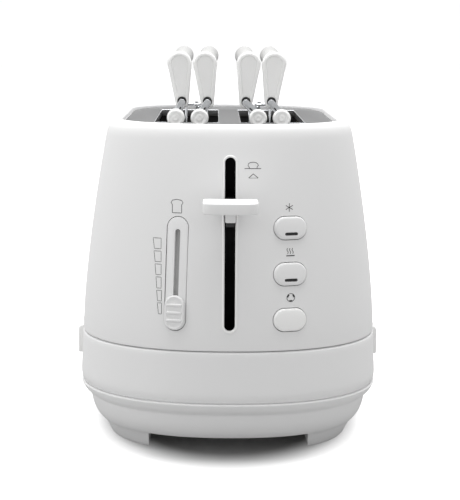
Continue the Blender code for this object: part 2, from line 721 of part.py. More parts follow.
def make_carriage():
    """Cross plate with its guide sleeve, spring ear and the stem that the lever sits on."""
    back_y = CARRIAGE_Y + SHEET / 2
    front_face = CARRIAGE_Y - SHEET / 2
    plate = block(
        (-CARRIAGE_HALF_WIDTH, front_face, CARRIAGE_BOTTOM_Z),
        (CARRIAGE_HALF_WIDTH, back_y, CARRIAGE_TOP_Z))
    bracket = add("carriage_bracket", plate, SHEET_STEEL)
    stem = block(
        (-STEM_WIDTH / 2, LEVER_FRONT_Y + STEM_COVER, STEM_LOW_Z),
        (STEM_WIDTH / 2, back_y - 0.5 * MM, STEM_HIGH_Z))
    join(bracket, helper("lever_stem", stem))
    sleeve = rod(
        (GUIDE_X, GUIDE_Y, CARRIAGE_BOTTOM_Z + 1 * MM), (GUIDE_X, GUIDE_Y, CARRIAGE_TOP_Z - 1 * MM),
        GUIDE_RADIUS + 2.5 * MM, 20)
    join(bracket, helper("guide_sleeve", sleeve))
    ear = block(
        (SPRING_X - 5 * MM, GUIDE_Y - 5 * MM, CARRIAGE_TOP_Z - 2.5 * MM),
        (SPRING_X + 5 * MM, CARRIAGE_Y, CARRIAGE_TOP_Z - 0.5 * MM))
    join(bracket, helper("spring_ear", ear))
    bore = rod((GUIDE_X, GUIDE_Y, 0), (GUIDE_X, GUIDE_Y, RIM_Z), GUIDE_RADIUS + FIT, 16)
    cut(bracket, helper("guide_bore", bore))


def make_lever():
    """White lever with a socket for the stem."""
    corner = LEVER_CORNER
    corner_y = -LEVER_FRONT_Y - corner
    corner_x = LEVER_HALF_WIDTH - corner
    back_x = LEVER_HALF_WIDTH - LEVER_TAPER
    outline = [(-back_x, -LEVER_BACK_Y), (back_x, -LEVER_BACK_Y), (LEVER_HALF_WIDTH, corner_y)]
    outline += arc((corner_x, corner_y), (corner, corner), 20, 90, 3)
    outline += arc((-corner_x, corner_y), (corner, corner), 90, 160, 3)
    outline += [(-LEVER_HALF_WIDTH, corner_y)]
    flipped = [(x, -y) for x, y in outline]
    bar = prism([flipped], LEVER_TOP_Z - LEVER_THICKNESS, LEVER_TOP_Z)
    lever = add("lever_knob", bar, WHITE, smooth=True)
    bevel(lever, 1 * MM, 2)
    hood = block(
        (-STEM_WIDTH, LEVER_FRONT_Y + 8 * MM, STEM_LOW_Z - FIT),
        (STEM_WIDTH, LEVER_BACK_Y - 4 * MM, LEVER_TOP_Z - 2 * MM))
    join(lever, helper("lever_hood", hood))
    socket = block(
        (-STEM_WIDTH / 2 - FIT, LEVER_FRONT_Y + STEM_COVER - FIT, 0.5 * STEM_LOW_Z),
        (STEM_WIDTH / 2 + FIT, 0, STEM_HIGH_Z + FIT))
    cut(lever, helper("lever_socket", socket))


def make_bread_racks():
    """The strip that carries the bread in each slot, reaching through the chamber's front."""
    for side, hand in ((-1, "left"), (1, "right")):
        x = side * RACK_X
        low = RACK_TOP_Z - RACK_HEIGHT
        strip = block(
            (x - RACK_WIDTH / 2, CARRIAGE_Y + SHEET / 2 + FIT, low),
            (x + RACK_WIDTH / 2, CHAMBER_HALF_LENGTH - 4 * MM, RACK_TOP_Z))
        add(f"bread_rack_{hand}", strip, SHEET_STEEL)


def make_guide_and_spring():
    """The rod that the carriage runs on, and the spring that lifts it."""
    floor_top = BASE_FLOOR_Z + FLOOR_THICKNESS
    under_plate = PLATE_Z - PLATE_THICKNESS
    foot = (GUIDE_X, GUIDE_Y, floor_top + FIT)
    guide = rod(foot, (GUIDE_X, GUIDE_Y, under_plate - FIT), GUIDE_RADIUS)
    add("guide_rod", guide, CHROME, smooth=True)
    low = CARRIAGE_TOP_Z - 0.5 * MM + FIT + SPRING_WIRE
    high = under_plate - FIT - SPRING_WIRE
    steps = SPRING_TURNS * 10
    points = []
    for step in range(steps + 1):
        angle = tau * SPRING_TURNS * step / steps
        points.append((
            SPRING_X + SPRING_RADIUS * cos(angle), GUIDE_Y + SPRING_RADIUS * sin(angle),
            low + (high - low) * step / steps))
    add("return_spring", tube(points, SPRING_WIRE, sides=1), CHROME)


def make_electromagnet():
    """The catch magnet at the foot of the travel, and the plate on the carriage that it holds."""
    plate_top = CARRIAGE_BOTTOM_Z - FIT
    plate_bottom = plate_top - 2.2 * MM
    armature = block(
        (SPRING_X - 6 * MM, GUIDE_Y, plate_bottom), (SPRING_X + 10 * MM, CARRIAGE_Y + SHEET / 2, plate_top))
    add("armature_plate", armature, STEEL)
    top = plate_bottom - CARRIAGE_DOWN - FIT
    core = block(
        (SPRING_X - 6 * MM, GUIDE_Y - 2 * MM, top - 24 * MM),
        (SPRING_X + 10 * MM, CARRIAGE_Y + 6 * MM, top))
    magnet = add("electromagnet", core, SHEET_STEEL)
    foot = block(
        (SPRING_X - 8 * MM, CARRIAGE_Y, top - 26 * MM),
        (SPRING_X + 12 * MM, -CHAMBER_HALF_LENGTH - CHAMBER_SHEET - FIT, top - 22 * MM))
    join(magnet, helper("magnet_foot", foot))


# ---- Toasting chamber ---------------------------------------------------------------


def make_chamber():
    """Sheet walls at the ends and flanks of the chamber, standing on the base floor."""
    floor_top = BASE_FLOOR_Z + FLOOR_THICKNESS
    low, high = floor_top + FIT, PLATE_Z - PLATE_THICKNESS - FIT
    half = CHAMBER_HALF_WIDTH
    wall = [(-half, low), (half, low), (half, high), (-half, high)]
    slots = []
    for side in (-1, 1):
        middle = RACK_TOP_Z - RACK_HEIGHT / 2 + (CARRIAGE_UP - CARRIAGE_DOWN) / 2
        tall = CARRIAGE_DOWN + CARRIAGE_UP + RACK_HEIGHT + 8 * MM
        outline = pill(tall, RACK_WIDTH + 1.6 * MM, 2)
        slots.append([(side * RACK_X + x, middle + z) for x, z in outline])
    front = CHAMBER_HALF_LENGTH
    front_mesh = prism([wall] + slots, front, front + CHAMBER_SHEET)
    add("chamber_front_wall", front_mesh, SHEET_STEEL, FACING_FRONT)
    rear_mesh = prism([wall], -front - CHAMBER_SHEET, -front)
    rear = add("chamber_rear_wall", rear_mesh, SHEET_STEEL, FACING_FRONT)
    mouth_x = TRAY_HALF_WIDTH + FIT
    mouth_high = (mouth_x, 2 * CHAMBER_HALF_LENGTH, floor_top + TRAY_DEPTH + 2 * FIT)
    mouth = block((-mouth_x, 0, 0), mouth_high)
    cut(rear, helper("rear_wall_mouth", mouth))
    side_low = floor_top + TRAY_DEPTH + 3 * MM
    for side, hand in ((-1, "left"), (1, "right")):
        x = side * (CHAMBER_HALF_WIDTH - 1.5 * CHAMBER_SHEET)
        reach = CHAMBER_HALF_LENGTH - FIT
        thin = CHAMBER_SHEET / 2
        panel = block((x - thin, -reach, side_low), (x + thin, reach, high))
        add(f"chamber_reflector_{hand}", panel, SHEET_STEEL)


def make_heaters():
    """Three mica boards, wound with ribbon on each face that a slice of bread looks at."""
    reach = CHAMBER_HALF_LENGTH - FIT
    for name, x in (("left", -HEATER_X), ("centre", 0), ("right", HEATER_X)):
        board = block((x - MICA / 2, -reach, HEATER_LOW_Z), (x + MICA / 2, reach, HEATER_HIGH_Z))
        add(f"heater_board_{name}", board, MICA_BOARD)
    offset = MICA / 2 + FIT + RIBBON / 2
    faces = {
        "left": -HEATER_X + offset, "centre_left": -offset,
        "centre_right": offset, "right": HEATER_X - offset}
    for name, x in faces.items():
        place = Matrix.Translation((x, 0, 0)) @ ACROSS_X
        ribbon = prism([ribbon_outline()], -RIBBON / 2, RIBBON / 2)
        add(f"heater_ribbon_{name}", ribbon, STEEL, place)


def ribbon_outline():
    """A flat ribbon that climbs the board in level runs, joined at alternate ends."""
    half = CHAMBER_HALF_LENGTH - 8 * MM
    width = 1.6 * MM
    low, high = HEATER_LOW_Z + 6 * MM, HEATER_HIGH_Z - 6 * MM
    pitch = (high - low) / (RIBBON_RUNS - 1)
    lower, upper = [], []
    for run in range(RIBBON_RUNS):
        z = low + run * pitch
        side = 1 if run % 2 == 0 else -1
        first, last = run == 0, run == RIBBON_RUNS - 1
        near, far = -side * half, side * half
        inner_near, inner_far = -side * (half - width), side * (half - width)
        if side > 0:
            lower.append((near if first else inner_near, z - width / 2))
            lower.append((far, z - width / 2))
            upper.append((near, z + width / 2))
            upper.append((far if last else inner_far, z + width / 2))
        else:
            upper.append((inner_near, z - width / 2))
            upper.append((far, z - width / 2))
            lower.append((near, z + width / 2))
            lower.append((far if last else inner_far, z + width / 2))
    return lower + upper[::-1]


def make_guards():
    """Wire guards that keep the bread off the heaters."""
    reach = 2 * (CHAMBER_HALF_LENGTH - FIT)
    high = PLATE_Z - PLATE_THICKNESS - FIT
    loops = lattice(reach, HEATER_LOW_Z - 3 * MM, high, GUARD_WIRE, 9, 1)
    faces = {
        "left_outer": -GUARD_OUTER_X, "left_inner": -GUARD_INNER_X,
        "right_inner": GUARD_INNER_X, "right_outer": GUARD_OUTER_X}
    for name, x in faces.items():
        place = Matrix.Translation((x, 0, 0)) @ ACROSS_X
        add(f"guard_{name}", prism(loops, -GUARD_WIRE / 2, GUARD_WIRE / 2), CHROME, place)


def make_crumb_tray():
    """The tray on the base floor, whose end follows the skirt at the back."""
    floor_top = BASE_FLOOR_Z + FLOOR_THICKNESS
    low, high = floor_top + FIT, floor_top + TRAY_DEPTH
    skin = SKIRT_FOOT_INSET - 1 * MM
    back = STRAIGHT_HALF + NOSE_DEPTH
    front = -CHAMBER_HALF_LENGTH + FIT
    slab = block((-TRAY_HALF_WIDTH, front, low), (TRAY_HALF_WIDTH, 2 * back, high))
    tray = add("crumb_tray", slab, SHEET_STEEL)
    trim(tray, helper("tray_end", loft([(skin, 0), (skin, LIP_Z)], True)))
    wall = 1.5 * MM
    pan = block(
        (-TRAY_HALF_WIDTH + wall, front + wall, low + wall),
        (TRAY_HALF_WIDTH - wall, CHAMBER_HALF_LENGTH + 20 * MM, 2 * high))
    cut(tray, helper("tray_pan", pan))


# ---- Sandwich cages -----------------------------------------------------------------


def cage_outline():
    """Side view of one wire half: grid, front arm with tang and foot stub, and rear rest."""
    half, bar = CAGE_HALF_LENGTH, CAGE_BAR
    rest = PLATE_Z + FIT
    knob_back = KNOB_FRONT_Y + KNOB_THICKNESS + FIT
    knob_z = PLATE_Z + FIT + KNOB_RADIUS
    tang_front, tang_back = TANG_Y - bar / 2, TANG_Y + bar / 2
    return [
        (-half, CAGE_LOW_Z), (half, CAGE_LOW_Z), (half, rest),
        (HINGE_Y + 2 * MM, rest), (HINGE_Y + 2 * MM, rest + bar), (half - bar, rest + bar),
        (half - bar, CAGE_HIGH_Z), (-half + bar, CAGE_HIGH_Z), (-half + bar, rest + 2 * bar),
        (tang_back, ARM_Z + bar / 2), (tang_back, TANG_HIGH_Z), (tang_front, TANG_HIGH_Z),
        (tang_front, ARM_Z), (knob_back, knob_z + bar / 2), (knob_back, knob_z - bar / 2),
        (tang_front, ARM_Z - bar), (-half, rest + bar / 2),
    ]


def grip_mesh(lean):
    """The round grip that runs back and slightly up from the head of a handle."""
    steps = ((0.0, 0.9), (0.35, 1.0), (0.8, 1.0), (0.93, 0.8), (1.0, 0.4))
    points, radii = [], []
    for share, size in steps:
        back = -HANDLE_GRIP_LENGTH * share + HANDLE_THICKNESS / 2
        points.append((lean * share, HANDLE_GRIP_RISE * share, back))
        radii.append(size)
    return tube(points, HANDLE_GRIP_RADIUS, radii, sides=3)


def make_handle(name, x, lean, tang_x):
    """One handle, with a notch in its foot for the tang of the wire."""
    back_y = HANDLE_FRONT_Y + HANDLE_THICKNESS
    place = Matrix.Translation((x, back_y, HANDLE_Z)) @ FACING_FRONT
    outline = tapered_pill(HANDLE_TOP_RADIUS, HANDLE_FOOT_RADIUS, HANDLE_DROP)
    handle = add(name, prism([outline], 0, HANDLE_THICKNESS), WHITE, place, smooth=True)
    bevel(handle, 1.2 * MM, 2)
    join(handle, helper(f"{name}_grip", grip_mesh(lean), place))
    notch = block(
        (tang_x - CAGE_WIRE / 2 - FIT, TANG_Y - CAGE_BAR / 2 - FIT, PLATE_Z),
        (tang_x + CAGE_WIRE / 2 + FIT, TANG_Y + CAGE_BAR / 2 + FIT, TANG_HIGH_Z + FIT))
    cut(handle, helper(f"{name}_notch", notch))
    return handle


def make_knob(name, x):
    """Round foot of one cage half, a turned disc with a dished face."""
    z = PLATE_Z + FIT + KNOB_RADIUS
    radius, face = KNOB_RADIUS, KNOB_THICKNESS
    dish = 0.8 * MM
    profile = [
        (0, face - dish), (0.29 * radius, face - dish), (0.36 * radius, face - dish / 4),
        (radius - 1.5 * dish, face), (radius - dish / 2, face - dish),
        (radius, face - 2 * dish), (radius, dish), (radius - dish, 0), (0, 0)]

    def turn(shape):
        verts = [shape.verts.new((r, 0, h)) for r, h in profile]
        edges = [shape.edges.new(pair) for pair in zip(verts, verts[1:])]
        bmesh.ops.spin(shape, geom=verts + edges, axis=(0, 0, 1), cent=(0, 0, 0), angle=tau, steps=20)
        bmesh.ops.remove_doubles(shape, verts=shape.verts, dist=0.001 * MM)

    back = Matrix.Translation((x, KNOB_FRONT_Y + KNOB_THICKNESS, z)) @ FACING_FRONT
    return add(name, mesh_from(turn), WHITE, back, smooth=True)


def make_cages():
    """Both cages: the inner half lifts out, and the outer half opens on the pin at the back."""
    openings = windows(2 * CAGE_HALF_LENGTH, CAGE_LOW_Z, CAGE_HIGH_Z, CAGE_BAR, 5, 3)
    rows = (
        ("inner", CAGE_INNER_X, HANDLE_INNER_X, KNOB_INNER_X),
        ("outer", CAGE_OUTER_X, HANDLE_OUTER_X, KNOB_OUTER_X))
    for side, hand in ((-1, "left"), (1, "right")):
        for row, wire_x, handle_x, knob_x in rows:
            x = side * wire_x
            place = Matrix.Translation((x, 0, 0)) @ ACROSS_X
            wire = prism([cage_outline()], -CAGE_WIRE / 2, CAGE_WIRE / 2)
            cage = add(f"cage_wire_{hand}_{row}", wire, CHROME, place)
            cutter = prism(openings, -CAGE_WIRE, CAGE_WIRE)
            cut(cage, helper(f"{hand}_{row}_windows", cutter, place))
            join_hinge(cage, hand, row, side, x)
            lean = -side * HANDLE_GRIP_LEAN
            handle = make_handle(f"cage_handle_{hand}_{row}", side * handle_x, lean, x)
            knob = make_knob(f"cage_knob_{hand}_{row}", side * knob_x)
            if row == "outer":
                hang_on_pin(hand, side, (cage, handle, knob))


def hang_on_pin(hand, side, pieces):
    """An empty on the hinge's axis carries the half that opens."""
    pivot = bpy.data.objects.new(f"cage_pivot_{hand}", None)
    pivot.location = (side * (CAGE_INNER_X + CAGE_OUTER_X) / 2, HINGE_Y, RIM_Z)
    TOASTER.objects.link(pivot)
    for piece in pieces:
        piece.parent = pivot
        piece.matrix_parent_inverse = Matrix.Translation(-pivot.location)


def join_hinge(cage, hand, row, side, x):
    """A tab from the rear rest to the hinge; the inner half has the pin, the outer an eye."""
    pin_x = side * (CAGE_INNER_X + CAGE_OUTER_X) / 2
    rest = PLATE_Z + FIT
    inner = row == "inner"
    low = rest + 0.1 * MM if inner else rest + CAGE_BAR + FIT
    thickness = CAGE_BAR - 0.2 * MM
    reach = TAB_REACH if inner else HINGE_RADIUS + 1.6 * MM
    xs = sorted((x, pin_x + (side if inner else -side) * reach))
    tab = block((xs[0], HINGE_Y - reach, low), (xs[1], HINGE_Y + reach, low + thickness))
    join(cage, helper(f"{hand}_{row}_tab", tab))
    if inner:
        pin_high = (pin_x, HINGE_Y, rest + 2 * CAGE_BAR + 1.5 * MM)
        pin = rod((pin_x, HINGE_Y, rest + 0.5 * MM), pin_high, HINGE_RADIUS, 12)
        join(cage, helper(f"{hand}_pin", pin))
        return
    post_half = 0.45 * CAGE_WIRE
    post = block(
        (x - post_half, HINGE_Y - reach, rest + 0.5 * MM),
        (x + post_half, HINGE_Y + TAB_REACH, low + thickness))
    join(cage, helper(f"{hand}_post", post))
    eye = rod((pin_x, HINGE_Y, rest), (pin_x, HINGE_Y, rest + 4 * CAGE_BAR), HINGE_RADIUS + FIT, 12)
    cut(cage, helper(f"{hand}_eye", eye))


def stand_on_origin():
    """Moves the whole toaster so that the middle of its overall length is at the origin."""
    back = STRAIGHT_HALF + NOSE_DEPTH + GLAND_REACH
    stand = bpy.data.objects.new("stand", None)
    TOASTER.objects.link(stand)
    stand.location.y = -(LEVER_FRONT_Y + back) / 2
    for obj in list(TOASTER.objects) + list(CUTTERS.objects):
        if obj is not stand and obj.parent is None:
            obj.parent = stand


make_upper_housing()
make_lower_band()
make_cord_gland()
make_base()
make_side_grips()
make_top_plate()
make_buttons()
make_button_board()
make_browning_control()
make_carriage()
make_lever()
make_bread_racks()
make_guide_and_spring()
make_electromagnet()
make_chamber()
make_heaters()
make_guards()
make_crumb_tray()
make_cages()
stand_on_origin()
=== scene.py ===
import math

import bpy
from mathutils import Matrix, Vector


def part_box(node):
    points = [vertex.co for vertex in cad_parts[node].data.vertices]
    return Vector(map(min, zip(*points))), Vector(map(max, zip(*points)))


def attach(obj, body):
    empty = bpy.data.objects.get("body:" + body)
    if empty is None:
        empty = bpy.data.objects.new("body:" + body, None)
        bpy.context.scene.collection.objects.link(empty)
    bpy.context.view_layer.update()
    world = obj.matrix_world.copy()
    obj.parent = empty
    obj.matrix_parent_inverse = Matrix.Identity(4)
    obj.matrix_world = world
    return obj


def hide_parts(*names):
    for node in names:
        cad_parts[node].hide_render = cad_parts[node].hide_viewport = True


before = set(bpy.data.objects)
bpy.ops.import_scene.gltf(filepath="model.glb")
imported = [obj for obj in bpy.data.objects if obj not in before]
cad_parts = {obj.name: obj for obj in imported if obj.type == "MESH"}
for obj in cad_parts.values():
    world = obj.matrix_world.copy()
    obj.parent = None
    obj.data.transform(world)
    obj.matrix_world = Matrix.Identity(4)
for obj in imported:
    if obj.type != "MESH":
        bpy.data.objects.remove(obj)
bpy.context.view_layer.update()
mm = 0.001

# The shells are laid out round the middle of the body, which lies behind the origin;
# the front of the lever is leverReach ahead of that middle.
leverReach = 174
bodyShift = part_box("lever_knob")[0].y / mm + leverReach
weldDistance = 0.002 * mm


def deselect():
    if bpy.context.mode != "OBJECT":
        bpy.ops.object.mode_set(mode="OBJECT")
    bpy.ops.object.select_all(action="DESELECT")


def focus(piece):
    deselect()
    piece.select_set(True)
    bpy.context.view_layer.objects.active = piece


def named(name):
    piece = bpy.context.active_object
    piece.name = name
    piece.data.name = name
    return piece


# Enters edit mode with only the parts selected that pass the test.
def pick(piece, kind, test):
    focus(piece)
    bpy.ops.object.mode_set(mode="EDIT")
    bpy.ops.mesh.select_mode(type=kind)
    bpy.ops.mesh.select_all(action="DESELECT")
    bpy.ops.object.mode_set(mode="OBJECT")
    mesh = piece.data
    if kind == "FACE":
        for face in mesh.polygons:
            face.select = test(face.center / mm, face.normal)
    elif kind == "EDGE":
        for edge in mesh.edges:
            ends = [mesh.vertices[index].co / mm for index in edge.vertices]
            edge.select = test(*ends)
    else:
        for vertex in mesh.vertices:
            vertex.select = test(vertex.co / mm)
    bpy.ops.object.mode_set(mode="EDIT")


def editDone():
    bpy.ops.object.mode_set(mode="OBJECT")


def faceOut(piece):
    focus(piece)
    bpy.ops.object.mode_set(mode="EDIT")
    bpy.ops.mesh.select_all(action="SELECT")
    bpy.ops.mesh.remove_doubles(threshold=weldDistance)
    bpy.ops.mesh.normals_make_consistent(inside=False)
    editDone()
    # A deep dish can come out inside out, so the enclosed volume has the last word.
    mesh = piece.data
    mesh.calc_loop_triangles()
    volume = 0
    for triangle in mesh.loop_triangles:
        a, b, c = (mesh.vertices[index].co for index in triangle.vertices)
        volume += a.dot(b.cross(c))
    if volume < 0:
        bpy.ops.object.mode_set(mode="EDIT")
        bpy.ops.mesh.flip_normals()
        editDone()


def applyPlace(piece):
    focus(piece)
    bpy.ops.object.transform_apply(location=True, rotation=True, scale=True)


def place(piece, matrix):
    piece.matrix_world = matrix
    applyPlace(piece)
    return piece


def carve(piece, cutter, operation="DIFFERENCE"):
    focus(piece)
    modifier = piece.modifiers.new("carve", "BOOLEAN")
    modifier.operation = operation
    modifier.solver = "EXACT"
    modifier.material_mode = "TRANSFER"
    modifier.object = cutter
    bpy.ops.object.modifier_apply(modifier=modifier.name)
    bpy.data.objects.remove(cutter)


def bevel(piece, width, segments=3, angle=30):
    focus(piece)
    modifier = piece.modifiers.new("bevel", "BEVEL")
    modifier.width = width * mm
    modifier.segments = segments
    modifier.limit_method = "ANGLE"
    modifier.angle_limit = math.radians(angle)
    modifier.harden_normals = False
    bpy.ops.object.modifier_apply(modifier=modifier.name)


def joinAll(name, parts):
    deselect()
    for part in parts:
        part.select_set(True)
    bpy.context.view_layer.objects.active = parts[0]
    bpy.ops.object.join()
    return named(name)


# Gives a piece its finish, the body it moves with, and the plain solids it stands for.
def finish(piece, material, body, slot, *nodes, smooth=35):
    applyPlace(piece)
    if smooth:
        bpy.ops.object.shade_smooth_by_angle(angle=math.radians(smooth))
    if not piece.data.materials:
        piece.data.materials.append(material)
    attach(piece, body)
    if nodes:
        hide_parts(*nodes)
    return piece


# A skin through rings of points: pointAt(ring, index) gives each point in millimetres.
def ringSkin(name, count, rings, pointAt, close):
    deselect()
    bpy.ops.mesh.primitive_circle_add(vertices=count, radius=100 * mm, location=(0, 0, 0))
    skin = named(name)
    bpy.ops.object.mode_set(mode="EDIT")
    bpy.ops.mesh.select_mode(type="EDGE")
    bpy.ops.mesh.select_all(action="SELECT")
    for _ in range(rings - 1):
        bpy.ops.mesh.extrude_region_move(TRANSFORM_OT_translate={"value": (0, 0, mm)})
    editDone()
    for vertex in skin.data.vertices:
        turn = math.atan2(-vertex.co.x, vertex.co.y) % math.tau
        index = round(turn / math.tau * count) % count
        ring = round(vertex.co.z / mm)
        vertex.co = Vector(pointAt(ring, index)) * mm
    focus(skin)
    bpy.ops.object.mode_set(mode="EDIT")
    bpy.ops.mesh.select_mode(type="EDGE")
    bpy.ops.mesh.select_all(action="DESELECT")
    bpy.ops.mesh.select_non_manifold()
    if close == "bridge":
        bpy.ops.mesh.bridge_edge_loops()
    elif close == "caps":
        bpy.ops.mesh.fill_holes(sides=0)
    editDone()
    faceOut(skin)
    return skin


# Plan shape of the body: straight flanks, and a full rounded nose at each end.
plan = {"halfWidth": 95, "straight": 62, "nose": 88, "power": 2.28, "steps": 96}


def planPoint(index, inset):
    half = plan["steps"] + 1
    end = 1 if index < half else -1
    angle = math.pi * (index % half) / plan["steps"]
    across = math.copysign(abs(math.cos(angle)) ** (2 / plan["power"]), math.cos(angle))
    along = abs(math.sin(angle)) ** (2 / plan["power"])
    if index % half in (0, plan["steps"]):
        along = 0
    x = (plan["halfWidth"] - inset) * across * end
    y = (plan["straight"] + (plan["nose"] - inset) * along) * end
    return x, y + bodyShift


def loft(name, profile, close="bridge"):
    def pointAt(ring, index):
        inset, height = profile[ring]
        return (*planPoint(index, inset), height)

    return ringSkin(name, 2 * (plan["steps"] + 1), len(profile), pointAt, close)


# A turned shape from (radius, height) pairs, about its own upright axis.
def turned(name, profile, count, close):
    def pointAt(ring, index):
        radius, height = profile[ring]
        angle = math.tau * index / count
        return (radius * math.cos(angle), radius * math.sin(angle), height)

    return ringSkin(name, count, len(profile), pointAt, close)


def bezier(a, b, c, d, steps):
    points = []
    for step in range(steps + 1):
        t = step / steps
        weights = ((1 - t) ** 3, 3 * t * (1 - t) ** 2, 3 * t * t * (1 - t), t ** 3)
        points.append(tuple(sum(w * p[k] for w, p in zip(weights, (a, b, c, d))) for k in (0, 1)))
    return points


def span(start, end, count):
    return [start + (end - start) * step / count for step in range(count + 1)]


def wallInset(z):
    return 1.2 + 15 * max(0, (z - 73) / 121) ** 1.45


def frontY(x, z):
    inset = wallInset(z)
    share = (1 - (abs(x) / (plan["halfWidth"] - inset)) ** plan["power"]) ** (1 / plan["power"])
    return -plan["straight"] - (plan["nose"] - inset) * share


# Right, up and outwards on the front wall at that place, with the origin lifted off it.
def onWall(x, z, lift=0):
    slopeX = frontY(x + 0.5, z) - frontY(x - 0.5, z)
    slopeZ = frontY(x, z + 0.5) - frontY(x, z - 0.5)
    right = Vector((1, slopeX, 0)).normalized()
    out = Vector((slopeX, -1, slopeZ)).normalized()
    up = out.cross(right)
    matrix = Matrix((right, up, out)).transposed().to_4x4()
    matrix.translation = (Vector((x, frontY(x, z) + bodyShift, z)) + out * lift) * mm
    return matrix


def at(x, y, z):
    return Vector((x, y + bodyShift, z)) * mm


facingFront = Matrix(((1, 0, 0, 0), (0, 0, -1, 0), (0, 1, 0, 0), (0, 0, 0, 1)))
lyingDown = Matrix.Rotation(math.pi / 2, 4, "Z")


# An upright pill, solid from low to high along its own Z.
def pill(name, length, width, low, high, foot=None):
    deselect()
    bpy.ops.mesh.primitive_circle_add(vertices=50, radius=width / 2 * mm, fill_type="NGON")
    piece = named(name)
    reach = (length - width) / 2
    pick(piece, "VERT", lambda p: p.y > 0)
    bpy.ops.transform.translate(value=(0, reach * mm, 0))
    editDone()
    pick(piece, "VERT", lambda p: p.y < 0)
    if foot:
        bpy.ops.transform.resize(value=(foot, foot, 1), center_override=(0, 0, 0))
    bpy.ops.transform.translate(value=(0, -reach * mm, 0))
    bpy.ops.mesh.select_mode(type="FACE")
    bpy.ops.mesh.select_all(action="SELECT")
    bpy.ops.transform.translate(value=(0, 0, low * mm))
    bpy.ops.mesh.extrude_region_move(TRANSFORM_OT_translate={"value": (0, 0, (high - low) * mm)})
    editDone()
    faceOut(piece)
    return piece


def block(name, low, high):
    low, high = Vector(low), Vector(high)
    deselect()
    middle = (low + high) / 2 * mm
    bpy.ops.mesh.primitive_cube_add(size=1, location=middle, scale=(high - low) * mm)
    piece = named(name)
    applyPlace(piece)
    return piece


# A round wire through points given in metres.
def wire(name, points, radius, closed=False, sides=3, radii=None):
    deselect()
    bpy.ops.curve.primitive_bezier_curve_add(location=(0, 0, 0))
    line = named(name)
    line.data.splines.clear()
    spline = line.data.splines.new("POLY")
    spline.points.add(len(points) - 1)
    for number, point in enumerate(points):
        spline.points[number].co = (*point, 1)
        spline.points[number].radius = radii[number] if radii else 1
    spline.use_cyclic_u = closed
    line.data.dimensions = "3D"
    line.data.bevel_depth = radius * mm
    line.data.bevel_resolution = sides
    line.data.use_fill_caps = True
    focus(line)
    bpy.ops.object.convert(target="MESH")
    faceOut(line)
    return line


def hexColour(text):
    parts = [int(text[start:start + 2], 16) / 255 for start in (1, 3, 5)]
    linear = [p / 12.92 if p <= 0.04045 else ((p + 0.055) / 1.055) ** 2.4 for p in parts]
    return (*linear, 1)


def addNode(tree, kind, inputs=None, **settings):
    node = tree.nodes.new(kind)
    for name, value in settings.items():
        setattr(node, name, value)
    for name, value in (inputs or {}).items():
        if isinstance(value, bpy.types.NodeSocket):
            tree.links.new(value, node.inputs[name])
        else:
            node.inputs[name].default_value = value
    return node


def startMaterial(name, settings):
    material = bpy.data.materials.new(name)
    material.use_nodes = True
    shader = material.node_tree.nodes["Principled BSDF"]
    for socket, value in settings.items():
        shader.inputs[socket].default_value = value
    return material, material.node_tree, shader


# Colour and relief, the depth of it in millimetres.
def cover(tree, shader, colour, height, strength, depth):
    relief = {"Height": height, "Strength": strength, "Distance": depth * mm}
    bump = addNode(tree, "ShaderNodeBump", relief)
    tree.links.new(colour, shader.inputs["Base Color"])
    tree.links.new(bump.outputs["Normal"], shader.inputs["Normal"])


# One grain drives both the gloss and the relief.
def surface(tree, shader, colour, grain, rough, strength, depth):
    height = grain.outputs["Fac"]
    ends = {"Value": height, "To Min": rough[0], "To Max": rough[1]}
    gloss = addNode(tree, "ShaderNodeMapRange", ends)
    tree.links.new(gloss.outputs["Result"], shader.inputs["Roughness"])
    cover(tree, shader, colour.outputs["Result"], height, strength, depth)


# Moulded plastic: an even colour with a slow drift, fine texture from the tool, and soft gloss.
def mouldedPlastic(name, row):
    look = dict(zip(plasticKeys, plastics[row]))
    settings = {"IOR": look["ior"], "Coat Weight": look["coat"], "Coat Roughness": 0.12}
    material, tree, shader = startMaterial(name, settings)
    place = addNode(tree, "ShaderNodeTexCoord").outputs["Object"]
    driftScale, grainScale = (1 / (look[key] * mm) for key in ("driftSize", "grainSize"))
    drift = addNode(tree, "ShaderNodeTexNoise", {"Vector": place, "Scale": driftScale, "Detail": 2.0})
    tints = {"Factor": drift.outputs["Fac"], "A": hexColour(look["colour"]), "B": hexColour(look["shade"])}
    colour = addNode(tree, "ShaderNodeMix", tints, data_type="RGBA")
    grain = addNode(tree, "ShaderNodeTexNoise", {"Vector": place, "Scale": grainScale, "Detail": 3.0})
    surface(tree, shader, colour, grain, (look["rough"] - 0.03, look["rough"] + 0.05), look["grain"], 0.02)
    return material


